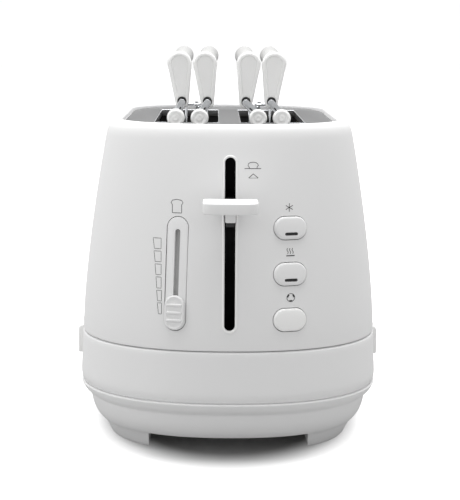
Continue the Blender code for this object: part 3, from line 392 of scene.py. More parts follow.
# Sheet or wire metal: streaks along one axis, or blotches when the stretch is 1.
def metal(name, row):
    look = dict(zip(metalKeys, metals[row]))
    material, tree, shader = startMaterial(name, {"Metallic": 1.0})
    place = addNode(tree, "ShaderNodeTexCoord").outputs["Object"]
    size, along = look["grainSize"] * mm, look["stretch"]
    scale = [1 / size] * 3
    scale["XYZ".index(look["axis"])] = 1 / (size * along)
    stretched = addNode(tree, "ShaderNodeMapping", {"Vector": place, "Scale": scale})
    lines = {"Vector": stretched.outputs["Vector"], "Scale": 1.0, "Detail": 4.0, "Roughness": 0.6}
    grain = addNode(tree, "ShaderNodeTexNoise", lines)
    blotScale = 1 / (look["blotSize"] * mm)
    blot = addNode(tree, "ShaderNodeTexNoise", {"Vector": place, "Scale": blotScale, "Detail": 3.0})
    tints = {"Factor": grain.outputs["Fac"], "A": hexColour(look["dark"]), "B": hexColour(look["bright"])}
    streaks = addNode(tree, "ShaderNodeMix", tints, data_type="RGBA")
    share = {"Value": blot.outputs["Fac"], "From Min": 0.45, "From Max": 0.75, "To Max": look["stain"]}
    stained = addNode(tree, "ShaderNodeMapRange", share).outputs["Result"]
    tints = {"Factor": stained, "A": streaks.outputs["Result"], "B": hexColour(look["stainColour"])}
    colour = addNode(tree, "ShaderNodeMix", tints, data_type="RGBA")
    surface(tree, shader, colour, grain, (look["rough"] - 0.06, look["rough"] + 0.08), look["relief"], 0.03)
    return material


# Pressed mica: flat flakes a few millimetres across in a tan binder, with a pearly sheen.
def pressedMica():
    material, tree, shader = startMaterial("pressed mica board", {"Roughness": 0.5})
    place = addNode(tree, "ShaderNodeTexCoord").outputs["Object"]
    flakes = addNode(tree, "ShaderNodeTexVoronoi", {"Vector": place, "Scale": 1 / (3 * mm)})
    tint = addNode(tree, "ShaderNodeSeparateColor", {"Color": flakes.outputs["Color"]})
    tints = {"Factor": tint.outputs[0], "A": hexColour("#8c7c63"), "B": hexColour("#c4b699")}
    colour = addNode(tree, "ShaderNodeMix", tints, data_type="RGBA")
    cover(tree, shader, colour.outputs["Result"], flakes.outputs["Distance"], 0.2, 0.05)
    return material


# Glass-fibre board: green lacquer over a plain weave about half a millimetre apart.
def circuitBoard():
    material, tree, shader = startMaterial("lacquered circuit board", {"Roughness": 0.35})
    place = addNode(tree, "ShaderNodeTexCoord").outputs["Object"]
    threads = {"Vector": place, "Scale": 1 / (1.1 * mm), "Mortar Size": 0.04}
    threads |= {"Color1": hexColour("#1d5a38"), "Color2": hexColour("#236743")}
    threads["Mortar"] = hexColour("#17482d")
    weave = addNode(tree, "ShaderNodeTexBrick", threads)
    cover(tree, shader, weave.outputs["Color"], weave.outputs["Fac"], 0.15, 0.03)
    return material


# Sizes in these two tables are in millimetres.
plasticKeys = ("colour", "shade", "driftSize", "grainSize", "grain", "rough", "ior", "coat")
plastics = {
    "shell": ("#f2f2f1", "#efefee", 90, 1.6, 0.12, 0.3, 1.52, 0.25),
    # the base row is darker than the shell: painted shade under the lip
    "base": ("#e2e2e1", "#dfdfde", 90, 1.2, 0.15, 0.36, 1.52, 0.1),
    # the grip row is the white handle plastic made darker: painted shade on the grips
    "grip": ("#bebebd", "#b9b9b8", 30, 1.0, 0.08, 0.3, 1.54, 0.1),
    "handle": ("#f5f5f4", "#f2f2f1", 30, 1.0, 0.08, 0.24, 1.54, 0.3),
    "inset": ("#f0f0ef", "#ededec", 30, 0.5, 0.3, 0.45, 1.5, 0.0),
    "black": ("#19191a", "#202021", 12, 0.4, 0.4, 0.42, 1.5, 0.0),
    # the groove row is grey to paint the shade in the browning groove
    "groove": ("#b2b2b2", "#a8a8a8", 20, 0.4, 0.3, 0.5, 1.5, 0.0),
    # the stem row is partly the hood's own pale grey and partly painted shade under the lever
    "stem": ("#c4c4c3", "#bcbcbb", 12, 0.5, 0.2, 0.4, 1.5, 0.0),
    "ink": ("#333333", "#2b2b2b", 4, 0.3, 0.2, 0.55, 1.48, 0.0),
    "rubber": ("#2b2b2c", "#343435", 8, 0.35, 0.6, 0.8, 1.52, 0.0),
    # the floor row is grey; a painted glow makes it white away from the body
    "floor": ("#a9a9a9", "#a7a7a7", 400, 3, 0.02, 0.6, 1.45, 0.0),
}
metalKeys = (
    "dark", "bright", "axis", "grainSize", "stretch",
    "blotSize", "stain", "stainColour", "rough", "relief",
)
metals = {
    "plate": ("#6e6e6f", "#8b8b8c", "Y", 0.35, 60, 60, 0.1, "#8a8a88", 0.34, 0.25),
    "chrome": ("#c4c6c9", "#e2e4e6", "Z", 1.5, 1, 10, 0.15, "#b5b3ae", 0.16, 0.05),
    # the sheet row is much darker than bare aluminised sheet: painted shade inside the slots, with real heat
    # stains
    "sheet": ("#3c3c3e", "#58585a", "Z", 0.9, 12, 25, 0.6, "#2e2a28", 0.5, 0.2),
    "spring": ("#6c6c6f", "#8c8c90", "Z", 0.4, 6, 8, 0.2, "#5a5a5c", 0.3, 0.1),
    "tray": ("#8b8b8d", "#a9a9ab", "Y", 0.5, 30, 30, 0.25, "#7c746a", 0.4, 0.2),
    "ribbon": ("#4f463f", "#6d6259", "Y", 0.4, 20, 6, 0.5, "#3d4450", 0.45, 0.15),
    "screw": ("#8c8c88", "#a8a8a2", "Z", 0.5, 1, 3, 0.2, "#77756c", 0.32, 0.2),
}

shellPlastic = mouldedPlastic("moulded gloss ABS, white", "shell")
shadeDarkenedBasePlastic = mouldedPlastic("moulded polypropylene, white darkened for painted shade", "base")
handlePlastic = mouldedPlastic("heat-proof polyamide, white", "handle")
shadedGripPlastic = mouldedPlastic("heat-proof polyamide, white, darkened for painted shade", "grip")
insetPlastic = mouldedPlastic("sparked polyamide, pale grey", "inset")
blackPlastic = mouldedPlastic("moulded ABS, black", "black")
shadedStemPlastic = mouldedPlastic("moulded acetal, pale grey with painted shade", "stem")
grooveShadePlastic = mouldedPlastic("acetal slide rail, grey as painted groove shade", "groove")
printInk = mouldedPlastic("pad-printed ink, dark grey", "ink")
footRubber = mouldedPlastic("moulded nitrile rubber", "rubber")
glowGreyFloor = mouldedPlastic("grey studio floor with painted glow", "floor")
plateSteel = metal("brushed stainless steel", "plate")
chromedWire = metal("chrome-plated wire", "chrome")
stainedShadedSheet = metal("aluminised sheet, heat-stained, darkened for painted shade", "sheet")
springSteel = metal("drawn spring wire", "spring")
traySheet = metal("plain aluminium sheet", "tray")
ribbonAlloy = metal("oxidised nickel-chrome ribbon", "ribbon")
zincScrew = metal("zinc-plated steel", "screw")
mica = pressedMica()
boardGreen = circuitBoard()
print("materials made")

# Every solid that stays as it came gets its finish here; what comes later replaces some of them.
carried = {
    # The chamber, rack and bracket sheet is darkened as painted shade inside the slots, besides its heat
    # stains.
    "guard_": chromedWire, "guide_rod": chromedWire, "return_spring": springSteel,
    "heater_board": mica, "heater_ribbon": ribbonAlloy, "foot_pad": footRubber,
    "base_screw": zincScrew, "crumb_tray": traySheet, "button_board": boardGreen,
    "control_board": boardGreen, "chamber_": stainedShadedSheet, "bread_rack": stainedShadedSheet,
    "carriage_bracket": stainedShadedSheet, "electromagnet": stainedShadedSheet, "armature_plate": springSteel,
}
for nodeName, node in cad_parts.items():
    chosen = shellPlastic
    for start, material in carried.items():
        if nodeName.startswith(start):
            chosen = material
    node.data.materials.clear()
    node.data.materials.append(chosen)

# The seam and the lip sit a little lower than on the plain solids.
seamLook = {"z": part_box("upper_housing")[0].z / mm - 4.0, "gap": 0.5, "lip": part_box("base")[1].z / mm - 0.9}

# Upper housing: a tall shell whose wall leans in, rolled over at the rim round a sunk mouth.
housing = {
    "wall": 2.8, "rings": 26, "rollSteps": 10, "shoulder": 194, "gap": 0.4,
    "slotMiddle": 133.25, "slotLength": 103.3, "slotWidth": 6.5, "bead": 0.75, "beadShift": 0.68,
    "roll": ((16.2, 194), (17.1, 199), (18.8, 204), (22.5, 204)),
    "rim": [(24.3, 204), (25.2, 203.75), (25.75, 203.2), (26, 202.4), (26, 200.25)],
    "ledge": [(29, 200.25), (29, 197.8), (21.5, 194)],
}


def makeUpperHousing():
    low = seamLook["z"]
    heights = span(low + 1, housing["shoulder"], housing["rings"])
    profile = [(wallInset(low) + 0.8, low), (wallInset(low) + 0.2, low + 0.1), (wallInset(low), low + 0.4)]
    profile += [(wallInset(z), z) for z in heights]
    profile += bezier(*housing["roll"], housing["rollSteps"])[1:] + housing["rim"] + housing["ledge"]
    profile += [(wallInset(z) + housing["wall"], z) for z in span(housing["shoulder"] - 9, low, 12)]
    shell = loft("upper_shell", profile)
    slot = pill("slot_cutter", housing["slotLength"], housing["slotWidth"], 62, 180)
    carve(shell, place(slot, Matrix.Translation(at(0, 0, housing["slotMiddle"])) @ facingFront))
    room = 2 * housing["gap"]
    for z in buttonLook["heights"].values():
        hole = pill("hole_cutter", buttonLook["length"] + room, buttonLook["width"] + room, -9, 9)
        carve(shell, place(hole, onWall(buttonLook["x"], z) @ lyingDown))
    recess = pill("recess_cutter", panelLook["length"] + room, panelLook["width"] + room, -9, 9)
    carve(shell, place(recess, onWall(panelLook["x"], panelLook["z"])))
    finish(shell, shellPlastic, "housing", "shell_plastic", "upper_housing")
    # A fine bead runs round the lever slot and catches the light.
    radius = housing["slotWidth"] / 2 + housing["beadShift"]
    half = housing["slotLength"] / 2 + housing["beadShift"]
    outline = []
    for turn in (1, -1):
        for step in range(16):
            angle = math.pi * step / 15
            along = half - radius + radius * math.sin(angle)
            outline.append((turn * radius * math.cos(angle), turn * along))
        for z in span(half - radius, radius - half, 24)[1:-1]:
            outline.append((-turn * radius, turn * z))
    points = [onWall(x, housing["slotMiddle"] + z, -0.15).translation for x, z in outline]
    bead = wire("slot_bead", points, housing["bead"], closed=True)
    finish(bead, shellPlastic, "housing", "shell_plastic")


glandLook = {
    "y": 150, "z": 56, "hole": 6.3,
    "profile": [
        (3.6, -9), (6, -9), (6, -0.2), (6.1, 0.4), (8.1, 0.4), (8.5, 0.8), (8.5, 2.2),
        (8.0, 2.9), (7.0, 3.25), (5.2, 3.3), (4.4, 3.0), (3.8, 2.4), (3.6, 1.6),
    ],
}


# Lower band: a plain belt that flares a little to the lip; its rounded top edge shows as a line.
def makeLowerBand():
    low, high = seamLook["lip"] + 0.2, seamLook["z"] - seamLook["gap"]
    foot = [(1.3, 0), (0.9, 0.25), (0.5, 1), (0.0, 2.2), (-0.3, 4), (-0.35, 6)]
    profile = [(inset, low + rise) for inset, rise in foot]
    profile += [(-0.35 + 1.2 * t, low + 6 + (high - low - 7.4) * t) for t in span(0.1, 1, 8)]
    profile += [(0.98, high - 0.95), (1.3, high - 0.5), (1.8, high - 0.15), (2.6, high)]
    profile += [(4.2, high), (4.2, low)]
    band = loft("belt", profile)
    deselect()
    bpy.ops.mesh.primitive_cylinder_add(
        vertices=40, radius=glandLook["hole"] * mm, depth=30 * mm,
        location=at(0, glandLook["y"], glandLook["z"]), rotation=(math.pi / 2, 0, 0),
    )
    carve(band, named("gland_cutter"))
    finish(band, shellPlastic, "housing", "shell_plastic", "lower_band")


# Base: rolled lip, a step, a skirt that tucks in, and four feet left by a cross-shaped recess.
baseLook = {
    "footX": 49.5, "footY": 66, "ceiling": 13, "floor": 15, "screwX": 53, "screwY": 55, "screwRadius": 1.9,
    "mouthHalf": 44.3, "mouthStart": 75, "mouthLow": 15.15, "mouthHigh": 23.6,
    "foot": ((18.4, 3.3), (16.8, 6.6), (15, 10.4), (13.0, 12.6)),
    "skirt": ((12.2, 13.1), (8.6, 16.6), (6.6, 21.0), (5.9, 27.4)),
    "step": [(6.0, 28.2), (5.6, 29.0), (4.6, 29.8), (3.0, 30.8), (1.8, 32.1), (0.9, 33.5), (0.2, 34.8)],
    "edge": [(-0.2, -1.3), (-0.3, -0.95), (-0.22, -0.6), (0.7, -0.05), (1.2, 0.12)],
}


def makeBase():
    lip = seamLook["lip"]
    outer = [(24, 2.3), (20.2, 2.3), (19.1, 2.6), (18.4, 3.3)]
    outer += bezier(*baseLook["foot"], 6)[1:] + bezier(*baseLook["skirt"], 12) + baseLook["step"]
    outer += [(inset, lip + drop) for inset, drop in baseLook["edge"]]
    inner = [(4.4, lip + 0.2), (9.2, 28.8), (13.8, 20), (17.2, baseLook["floor"])]
    body = loft("base_moulding", outer + inner, "caps")
    half, start = baseLook["mouthHalf"], baseLook["mouthStart"] + bodyShift
    mouth = block("mouth_cutter", (-half, start, baseLook["mouthLow"]), (half, 200, baseLook["mouthHigh"]))
    carve(body, mouth)
    for side in (-1, 1):
        for end in (-1, 1):
            deselect()
            where = at(side * baseLook["screwX"], end * baseLook["screwY"], 20)
            radius = baseLook["screwRadius"] * mm
            bpy.ops.mesh.primitive_cylinder_add(vertices=20, radius=radius, depth=30 * mm, location=where)
            carve(body, named("screw_cutter"))
    x, y, z = baseLook["footX"], baseLook["footY"], baseLook["ceiling"]
    along = block("recess_along", (-x, -200 + bodyShift, -5), (x, 200 + bodyShift, z))
    across = block("recess_across", (-150, -y + bodyShift, -5), (150, y + bodyShift, z))
    carve(along, across, "UNION")
    bevel(along, 1.2, 3, 60)
    carve(body, along)
    # The base's darker colour is painted shade under the lip.
    finish(body, shadeDarkenedBasePlastic, "housing", "base_plastic", "base")


# Top plate: one pressing with two long openings, their edges turned down, and drooped flanks.
plateLook = {
    "inset": 26.3, "crease": 60.8, "droop": 0.12, "thick": 0.8, "round": 0.35,
    "slotInner": 7, "slotOuter": 48, "slotHalf": 72.5, "flange": 4.5, "edge": 0.4,
}


def makeTopPlate():
    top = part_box("top_plate")[1].z / mm
    deselect()
    count = 2 * (plan["steps"] + 1)
    bpy.ops.mesh.primitive_circle_add(vertices=count, radius=100 * mm, fill_type="NGON", location=(0, 0, 0))
    plate = named("slotted_plate")
    for vertex in plate.data.vertices:
        turn = math.atan2(-vertex.co.x, vertex.co.y) % math.tau
        x, y = planPoint(round(turn / math.tau * count) % count, plateLook["inset"])
        vertex.co = Vector((x, y, top)) * mm
    # Cuts along the creases and slot edges, so that the openings follow whole faces.
    cuts = []
    for side in (-1, 1):
        cuts += [((side * plateLook[key], 0, 0), (1, 0, 0)) for key in ("crease", "slotInner", "slotOuter")]
        cuts.append(((0, side * plateLook["slotHalf"] + bodyShift, 0), (0, 1, 0)))
    for where, across in cuts:
        focus(plate)
        bpy.ops.object.mode_set(mode="EDIT")
        bpy.ops.mesh.select_all(action="SELECT")
        bpy.ops.mesh.bisect(plane_co=Vector(where) * mm, plane_no=across)
        editDone()

    def inSlot(centre):
        inside = plateLook["slotInner"] < abs(centre.x) < plateLook["slotOuter"]
        return inside and abs(centre.y - bodyShift) < plateLook["slotHalf"]

    pick(plate, "FACE", lambda centre, normal: inSlot(centre))
    bpy.ops.mesh.delete(type="FACE")
    editDone()

    def slotEdge(a, b):
        middle = (a + b) / 2
        nearX = plateLook["slotInner"] - 0.01 <= abs(middle.x) <= plateLook["slotOuter"] + 0.01
        onEnd = abs(abs(middle.y - bodyShift) - plateLook["slotHalf"]) < 0.01 and nearX
        flank = min(abs(abs(middle.x) - plateLook[key]) for key in ("slotInner", "slotOuter")) < 0.01
        return onEnd or (flank and abs(middle.y - bodyShift) < plateLook["slotHalf"])

    pick(plate, "EDGE", slotEdge)
    bpy.ops.mesh.extrude_region_move(TRANSFORM_OT_translate={"value": (0, 0, -plateLook["flange"] * mm)})
    editDone()
    for vertex in plate.data.vertices:
        beyond = abs(vertex.co.x) / mm - plateLook["crease"]
        if beyond > 0:
            vertex.co.z -= beyond * plateLook["droop"] * mm
    pick(plate, "FACE", lambda centre, normal: True)
    bpy.ops.mesh.normals_make_consistent(inside=False)
    editDone()
    focus(plate)
    up = [face.normal.z for face in plate.data.polygons if abs(face.normal.z) > 0.9]
    if sum(up) < 0:
        pick(plate, "FACE", lambda centre, normal: True)
        bpy.ops.mesh.flip_normals()
        editDone()
    focus(plate)
    thick = plate.modifiers.new("thick", "SOLIDIFY")
    thick.thickness = plateLook["thick"] * mm
    thick.offset = -1
    bpy.ops.object.modifier_apply(modifier=thick.name)
    bevel(plate, plateLook["round"], 3, 50)
    finish(plate, plateSteel, "housing", "plate_steel", "top_plate", smooth=25)
    # Bright chrome strips along the turned edges are painted highlight and show as bright lines.
    inner, outer, half = plateLook["slotInner"], plateLook["slotOuter"], plateLook["slotHalf"]
    for side, hand in ((-1, "left"), (1, "right")):
        corners = [(inner, -half), (outer, -half), (outer, half), (inner, half)]
        points = [at(side * x, y, top - 0.15) for x, y in corners]
        edge = wire(f"highlight_edge_{hand}", points, plateLook["edge"], closed=True)
        finish(edge, chromedWire, "housing", "plate_steel")


# Side grips: a finger ledge on each flank, flat below and rounded above.
gripLook = {"proud": 2, "round": 3.4, "edge": 0.9}


def makeSideGrips():
    for side, hand in ((-1, "left"), (1, "right")):
        low, high = (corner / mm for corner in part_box(f"side_grip_{hand}"))
        outer = high if side > 0 else low
        outer.x += side * gripLook["proud"]
        grip = block(f"flank_grip_{hand}", low, high)

        def atRim(a, b):
            return min(a.z, b.z) > high.z - 1 and max(abs(a.x - outer.x), abs(b.x - outer.x)) < 1

        pick(grip, "EDGE", atRim)
        bpy.ops.mesh.bevel(offset=gripLook["round"] * mm, segments=7)
        editDone()
        bevel(grip, gripLook["edge"], 3, 40)
        finish(grip, shellPlastic, "housing", "shell_plastic", f"side_grip_{hand}")


# Cable gland: a stepped grommet with a rounded flange and a bore for the flex.
def makeGland():
    gland = turned("flex_grommet", glandLook["profile"], 48, "bridge")
    back = Matrix.Translation(at(0, glandLook["y"], glandLook["z"])) @ Matrix.Rotation(-math.pi / 2, 4, "X")
    place(gland, back)
    finish(gland, blackPlastic, "housing", "black_plastic", "cord_gland")


# Push buttons: pill-shaped caps with a soft edge and a slight crown, two with a dark lamp bar.
buttonLook = {
    "x": 36.4, "heights": {"defrost": 142.8, "reheat": 115.4, "cancel": 88}, "length": 20.8, "width": 13.8,
    "proud": 1.3, "depth": 9, "edge": 1.5,
    "lampLength": 7.8, "lampWidth": 1.4, "lampDrop": 3.6, "lampRoom": 0.5,
}


def makeButtons():
    for name, z in buttonLook["heights"].items():
        where = onWall(buttonLook["x"], z)
        length, width, depth, proud = (buttonLook[key] for key in ("length", "width", "depth", "proud"))
        cap = pill(f"{name}_cap", length, width, -depth, proud)
        bevel(cap, buttonLook["edge"], 5, 40)
        pick(cap, "FACE", lambda centre, normal: normal.z > 0.99)
        bpy.ops.mesh.inset(thickness=2.2 * mm, depth=0.12 * mm)
        bpy.ops.mesh.inset(thickness=2.2 * mm, depth=0.05 * mm)
        editDone()
        place(cap, where @ lyingDown)
        lamp = where @ Matrix.Translation((0, -buttonLook["lampDrop"] * mm, 0)) @ lyingDown
        if name != "cancel":
            length, width, room = (buttonLook[key] for key in ("lampLength", "lampWidth", "lampRoom"))
            carve(cap, place(pill("lamp_cutter", length + room, width + room, 0, 6), lamp))
            bar = pill(f"{name}_lamp", length, width, 0.1, 1.2)
            bevel(bar, 0.3, 3, 40)
            place(bar, lamp)
            finish(bar, blackPlastic, f"{name}_button", "black_plastic", f"button_lamp_{name}")
        finish(cap, shellPlastic, f"{name}_button", "control_plastic", f"button_{name}")


# Browning control: a recessed pill panel with a groove over a grey rail, whose grey is painted shade in the
# groove, and a ribbed slider.
panelLook = {
    "x": -32.2, "z": 115.5, "length": 68.2, "width": 13, "sink": 0.6,
    "grooveLength": 56.5, "grooveWidth": 3.3, "grooveShift": -1.5,
    "sliderLength": 20.8, "sliderWidth": 12.4, "sliderHeight": 2.4,
    "ribPitch": 4.6, "ribHalf": 4.6, "ribWidth": 1.5, "ribRise": 0.55,
}


def makeBrowningControl():
    where = onWall(panelLook["x"], panelLook["z"])
    sink = -panelLook["sink"]
    panel = pill("slider_panel", panelLook["length"], panelLook["width"], sink - 2.2, sink)
    bevel(panel, 0.5, 3, 40)
    shift = Matrix.Translation((0, panelLook["grooveShift"] * mm, 0))
    groove = pill("groove_cutter", panelLook["grooveLength"], panelLook["grooveWidth"], -6, 6)
    carve(panel, place(groove, shift))
    place(panel, where)
    finish(panel, shellPlastic, "housing", "control_plastic", "browning_panel")
    # The grey rail under the groove is painted shade that makes the groove read dark.
    length, width = panelLook["grooveLength"] + 3, panelLook["grooveWidth"] + 2
    rail = pill("slide_rail", length, width, sink - 3.2, sink - 2.3)
    bevel(rail, 0.2, 2, 40)
    place(rail, where @ shift)
    finish(rail, grooveShadePlastic, "housing", "control_plastic")
    rest = -(panelLook["length"] - panelLook["sliderLength"]) / 2 + 0.3
    low = sink + 0.3
    high = low + panelLook["sliderHeight"]
    cap = pill("slider_cap", panelLook["sliderLength"], panelLook["sliderWidth"], low, high)
    bevel(cap, 1.0, 4, 40)
    pick(cap, "FACE", lambda centre, normal: normal.z > 0.99)
    bpy.ops.mesh.inset(thickness=1.0 * mm, depth=-0.5 * mm)
    editDone()
    for step in (-1, 0, 1):
        y = step * panelLook["ribPitch"]
        half, reach, rise = panelLook["ribHalf"], panelLook["ribWidth"] / 2, panelLook["ribRise"]
        rib = block("rib", (-half, y - reach, high - 1.2), (half, y + reach, high + rise))
        bevel(rib, 0.5, 3, 40)
        carve(cap, rib, "UNION")
    stem = block("slider_stem", (-1.3, -3, sink - 1.9), (1.3, 3, low + 0.8))
    carve(cap, stem, "UNION")
    place(cap, where @ Matrix.Translation((0, rest * mm, 0)))
    finish(cap, shellPlastic, "browning_slider", "control_plastic", "browning_slider")


# Lever: a rounded bar with a dished top and a narrow hood that covers the steel stem.
leverLook = {
    "height": 6.8, "corner": 6.5, "edge": 0.9, "hoodHalf": 3.05, "hoodLow": 149.2, "hoodBack": 8,
    "socketHalf": 2.7, "socketBack": 11.7, "socketTop": 160.9,
}


def makeLever():
    low, high = (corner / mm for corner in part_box("lever_knob"))
    bar = block("lever_bar", (low.x, low.y, high.z - leverLook["height"]), (high.x, high.y, high.z))
    pick(bar, "EDGE", lambda a, b: abs(a.z - b.z) > 1 and a.y < low.y + 1)
    bpy.ops.mesh.bevel(offset=leverLook["corner"] * mm, segments=6)
    editDone()
    bevel(bar, leverLook["edge"], 5, 40)
    pick(bar, "FACE", lambda centre, normal: normal.z > 0.99)
    bpy.ops.mesh.inset(thickness=0.4 * mm, depth=0)
    bpy.ops.mesh.inset(thickness=0.5 * mm, depth=-0.3 * mm)
    editDone()
    half, start = leverLook["hoodHalf"], low.y + leverLook["hoodBack"]
    hood = block("lever_hood", (-half, start, leverLook["hoodLow"]), (half, high.y - 4, high.z - 2))
    bevel(hood, 0.8, 3, 40)
    half, start = leverLook["socketHalf"], low.y + leverLook["socketBack"]
    for piece in (bar, hood):
        carve(piece, block("socket", (-half, start, 60), (half, 0, leverLook["socketTop"])))
    # The hood's grey is partly its own pale grey and partly painted shade under the lever bar.
    finish(hood, shadedStemPlastic, "carriage", "control_plastic")
    finish(bar, shellPlastic, "carriage", "control_plastic", "lever_knob")


# Sandwich cages: paddles with a raised rim, grips that lean inwards, turned knobs and round wire.
cageLook = {
    "lift": -0.6, "shiftX": -0.9, "paddleShift": -2.2, "knobY": -104.8, "knobZ": 207.3,
    "wireX": {"inner": 15.5, "outer": 30.2}, "handleX": {"inner": 13.5, "outer": 29.2},
    "knobX": {"inner": 17.9, "outer": 32.4},
    "pinX": 22.85, "pinY": 78, "restZ": 203.1, "eyeZ": 205.3, "eye": 2.6,
    "wire": 0.9, "bar": 1.05, "headRadius": 7.5, "footShare": 0.55, "drop": 23.5, "thick": 8.5,
    "front": -100, "headZ": 239.3, "lean": 1.6, "gripRadius": 5.9, "gripLength": 22, "tang": 1.9,
    "low": 86, "high": 189, "half": 63, "columns": 5, "rows": 3,
}


def makeHandle(name, x, side, tangX):
    radius, drop = cageLook["headRadius"], cageLook["drop"]
    paddle = pill(name, 2 * radius + drop, 2 * radius, 0, cageLook["thick"], foot=cageLook["footShare"])
    pick(paddle, "VERT", lambda p: p.y < 0)
    bpy.ops.transform.translate(value=(-side * cageLook["lean"] * mm, 0, 0))
    editDone()
    bevel(paddle, 1.7, 5, 40)
    pick(paddle, "FACE", lambda centre, normal: normal.z > 0.99)
    bpy.ops.mesh.inset(thickness=0.5 * mm, depth=0)
    bpy.ops.mesh.inset(thickness=0.25 * mm, depth=-0.45 * mm)
    bpy.ops.mesh.inset(thickness=0.25 * mm, depth=0.2 * mm)
    editDone()
    panel = [face.index for face in paddle.data.polygons if face.select]
    paddle.data.materials.append(handlePlastic)
    paddle.data.materials.append(insetPlastic)
    for index in panel:
        paddle.data.polygons[index].material_index = 1
    deselect()
    length = cageLook["gripLength"]
    bpy.ops.mesh.primitive_cylinder_add(
        vertices=40, radius=cageLook["gripRadius"] * mm, depth=length * mm,
        location=(0, drop / 2 * mm, (cageLook["thick"] / 2 - length / 2) * mm),
    )
    grip = named("grip")
    applyPlace(grip)
    pick(grip, "FACE", lambda centre, normal: normal.z < -0.99)
    bpy.ops.transform.translate(value=(-side * 2.4 * mm, 4.6 * mm, 0))
    bpy.ops.mesh.extrude_region_move(TRANSFORM_OT_translate={"value": (0, 0, -0.01 * mm)})
    editDone()
    bevel(grip, 2.4, 5, 40)
    # The grip takes the darker copy of the handle plastic, as painted shade.
    grip.data.materials.append(shadedGripPlastic)
    carve(paddle, grip, "UNION")
    middle = cageLook["headZ"] - drop / 2
    back = Matrix.Translation(at(x, cageLook["front"] + cageLook["thick"], middle)) @ facingFront
    place(paddle, Matrix.Translation((cageLook["paddleShift"] * mm, 0, 0)) @ back)
    notch = block("notch", (tangX - 1.3, -96.5 + bodyShift, 195), (tangX + 1.3, -93.5 + bodyShift, 226.4))
    carve(paddle, notch)
    return paddle


# A chromed fork joins paddle and knob: rounded top under an arch of painted shadow, a slit painted as a dark
# strip, and a small loop beside it.
forkLook = {
    "topZ": 215.4, "lowZ": 208.2, "width": 4.6, "thick": 1.1, "slitShadow": 0.9, "slitLength": 5.4, "archShadow": 5.6,
    "loopX": 3.6, "loopZ": 210.4, "loopWide": 1.0, "loopTall": 2.1,
}


# Twenty points on an ellipse that faces the front.
def ellipse(x, y, z, wide, tall):
    turns = [math.tau * k / 20 for k in range(20)]
    return [at(x + wide * math.cos(a), y, z + tall * math.sin(a)) for a in turns]


def makeFork(name, side, footX, knobX):
    topZ, lowZ = forkLook["topZ"], forkLook["lowZ"]
    lean = math.atan2(knobX - footX, topZ - lowZ)
    reach = math.hypot(knobX - footX, topZ - lowZ)
    front = cageLook["front"]
    centre = Matrix.Translation(at((footX + knobX) / 2, front - 0.1, (topZ + lowZ) / 2))
    middle = centre @ facingFront @ Matrix.Rotation(lean, 4, "Z")
    fork = pill("fork", reach + forkLook["width"], forkLook["width"], 0, forkLook["thick"])
    bevel(fork, 0.45, 3, 40)
    place(fork, middle)
    fork.data.materials.append(chromedWire)
    # The slit is a strip of black plastic on the fork face: painted shade for the slit.
    slitShadow = pill("slitShadow", forkLook["slitLength"], forkLook["slitShadow"], 0.6, forkLook["thick"] + 0.06)
    place(slitShadow, middle @ Matrix.Translation((-side * 0.5 * mm, -1.2 * mm, 0)))
    slitShadow.data.materials.append(blackPlastic)
    # The arch is a black half-disc on the paddle foot: a painted shadow for the cavity above the fork.
    archShadow = pill("archShadow", forkLook["archShadow"] + 0.2, forkLook["archShadow"], -0.6, 0.5)
    place(archShadow, Matrix.Translation(at(footX, front, topZ + 0.9)) @ facingFront)
    archShadow.data.materials.append(blackPlastic)
    loopX = footX + side * forkLook["loopX"]
    ring = ellipse(loopX, front - 0.4, forkLook["loopZ"], forkLook["loopWide"], forkLook["loopTall"])
    loop = wire("loop", ring, 0.45, closed=True)
    loop.data.materials.append(chromedWire)
    return joinAll(name, [fork, slitShadow, archShadow, loop])


knobProfile = [
    (2.6, 0), (4.6, 0), (5.2, 0.3), (5.5, 0.9), (5.5, 4.5), (5.35, 5.2), (4.95, 5.75), (4.5, 6.05), (4.1, 6.15),
    (3.6, 6.0), (3.1, 5.7), (2.5, 5.6), (2.1, 5.75), (1.7, 5.95), (1.2, 5.95), (0.7, 5.8), (0.2, 5.75),
]


def makeKnob(name, x):
    knob = turned(name, knobProfile, 48, "caps")
    where = at(x + cageLook["shiftX"], cageLook["knobY"], cageLook["knobZ"] + cageLook["lift"])
    return place(knob, Matrix.Translation(where) @ facingFront)


# One half of a cage: an outer loop, cross wires welded to it, the arm, and the foot at the front; makeRest adds
# the rest at the back.
def makeCageWires(name, side, row, tangX):
    x = side * cageLook["wireX"][row]
    knobX = side * cageLook["knobX"][row] + cageLook["shiftX"]
    low, high, half = cageLook["low"], cageLook["high"], cageLook["half"]
    corner = [(half, high), (half, low + 3), (half - 1, low + 1), (half - 3, low)]
    loop = [(-y, z) for y, z in corner] + corner[::-1]
    parts = [wire("loop", [at(x, y, z) for y, z in loop], cageLook["bar"], closed=True)]
    for column in range(1, cageLook["columns"]):
        y = -half + 2 * half * column / cageLook["columns"]
        parts.append(wire("upright", [at(x, y, low), at(x, y, high)], cageLook["wire"]))
    for line in range(1, cageLook["rows"]):
        z = low + (high - low) * line / cageLook["rows"]
        parts.append(wire("runner", [at(x, -half, z), at(x, half, z)], cageLook["wire"]))
    arm = [
        (x, -half, high), (x, -half, 203.5), (x, -half - 1.5, 206), ((x + tangX) / 2, -92, 210.6),
        (tangX, -94.2, 211.6), (tangX, -95, 213.5), (tangX, -95, 225.6),
    ]
    foot = [
        (x, -94.4, 211.2), (x, -98, 209.4), ((x + knobX) / 2, -101, 208.0),
        (knobX, -103.4, 207.0), (knobX, cageLook["knobY"] + 0.1, 206.8),
    ]
    for path in (arm, foot):
        parts.append(wire("bent_wire", [at(*point) for point in path], cageLook["bar"]))
    return parts


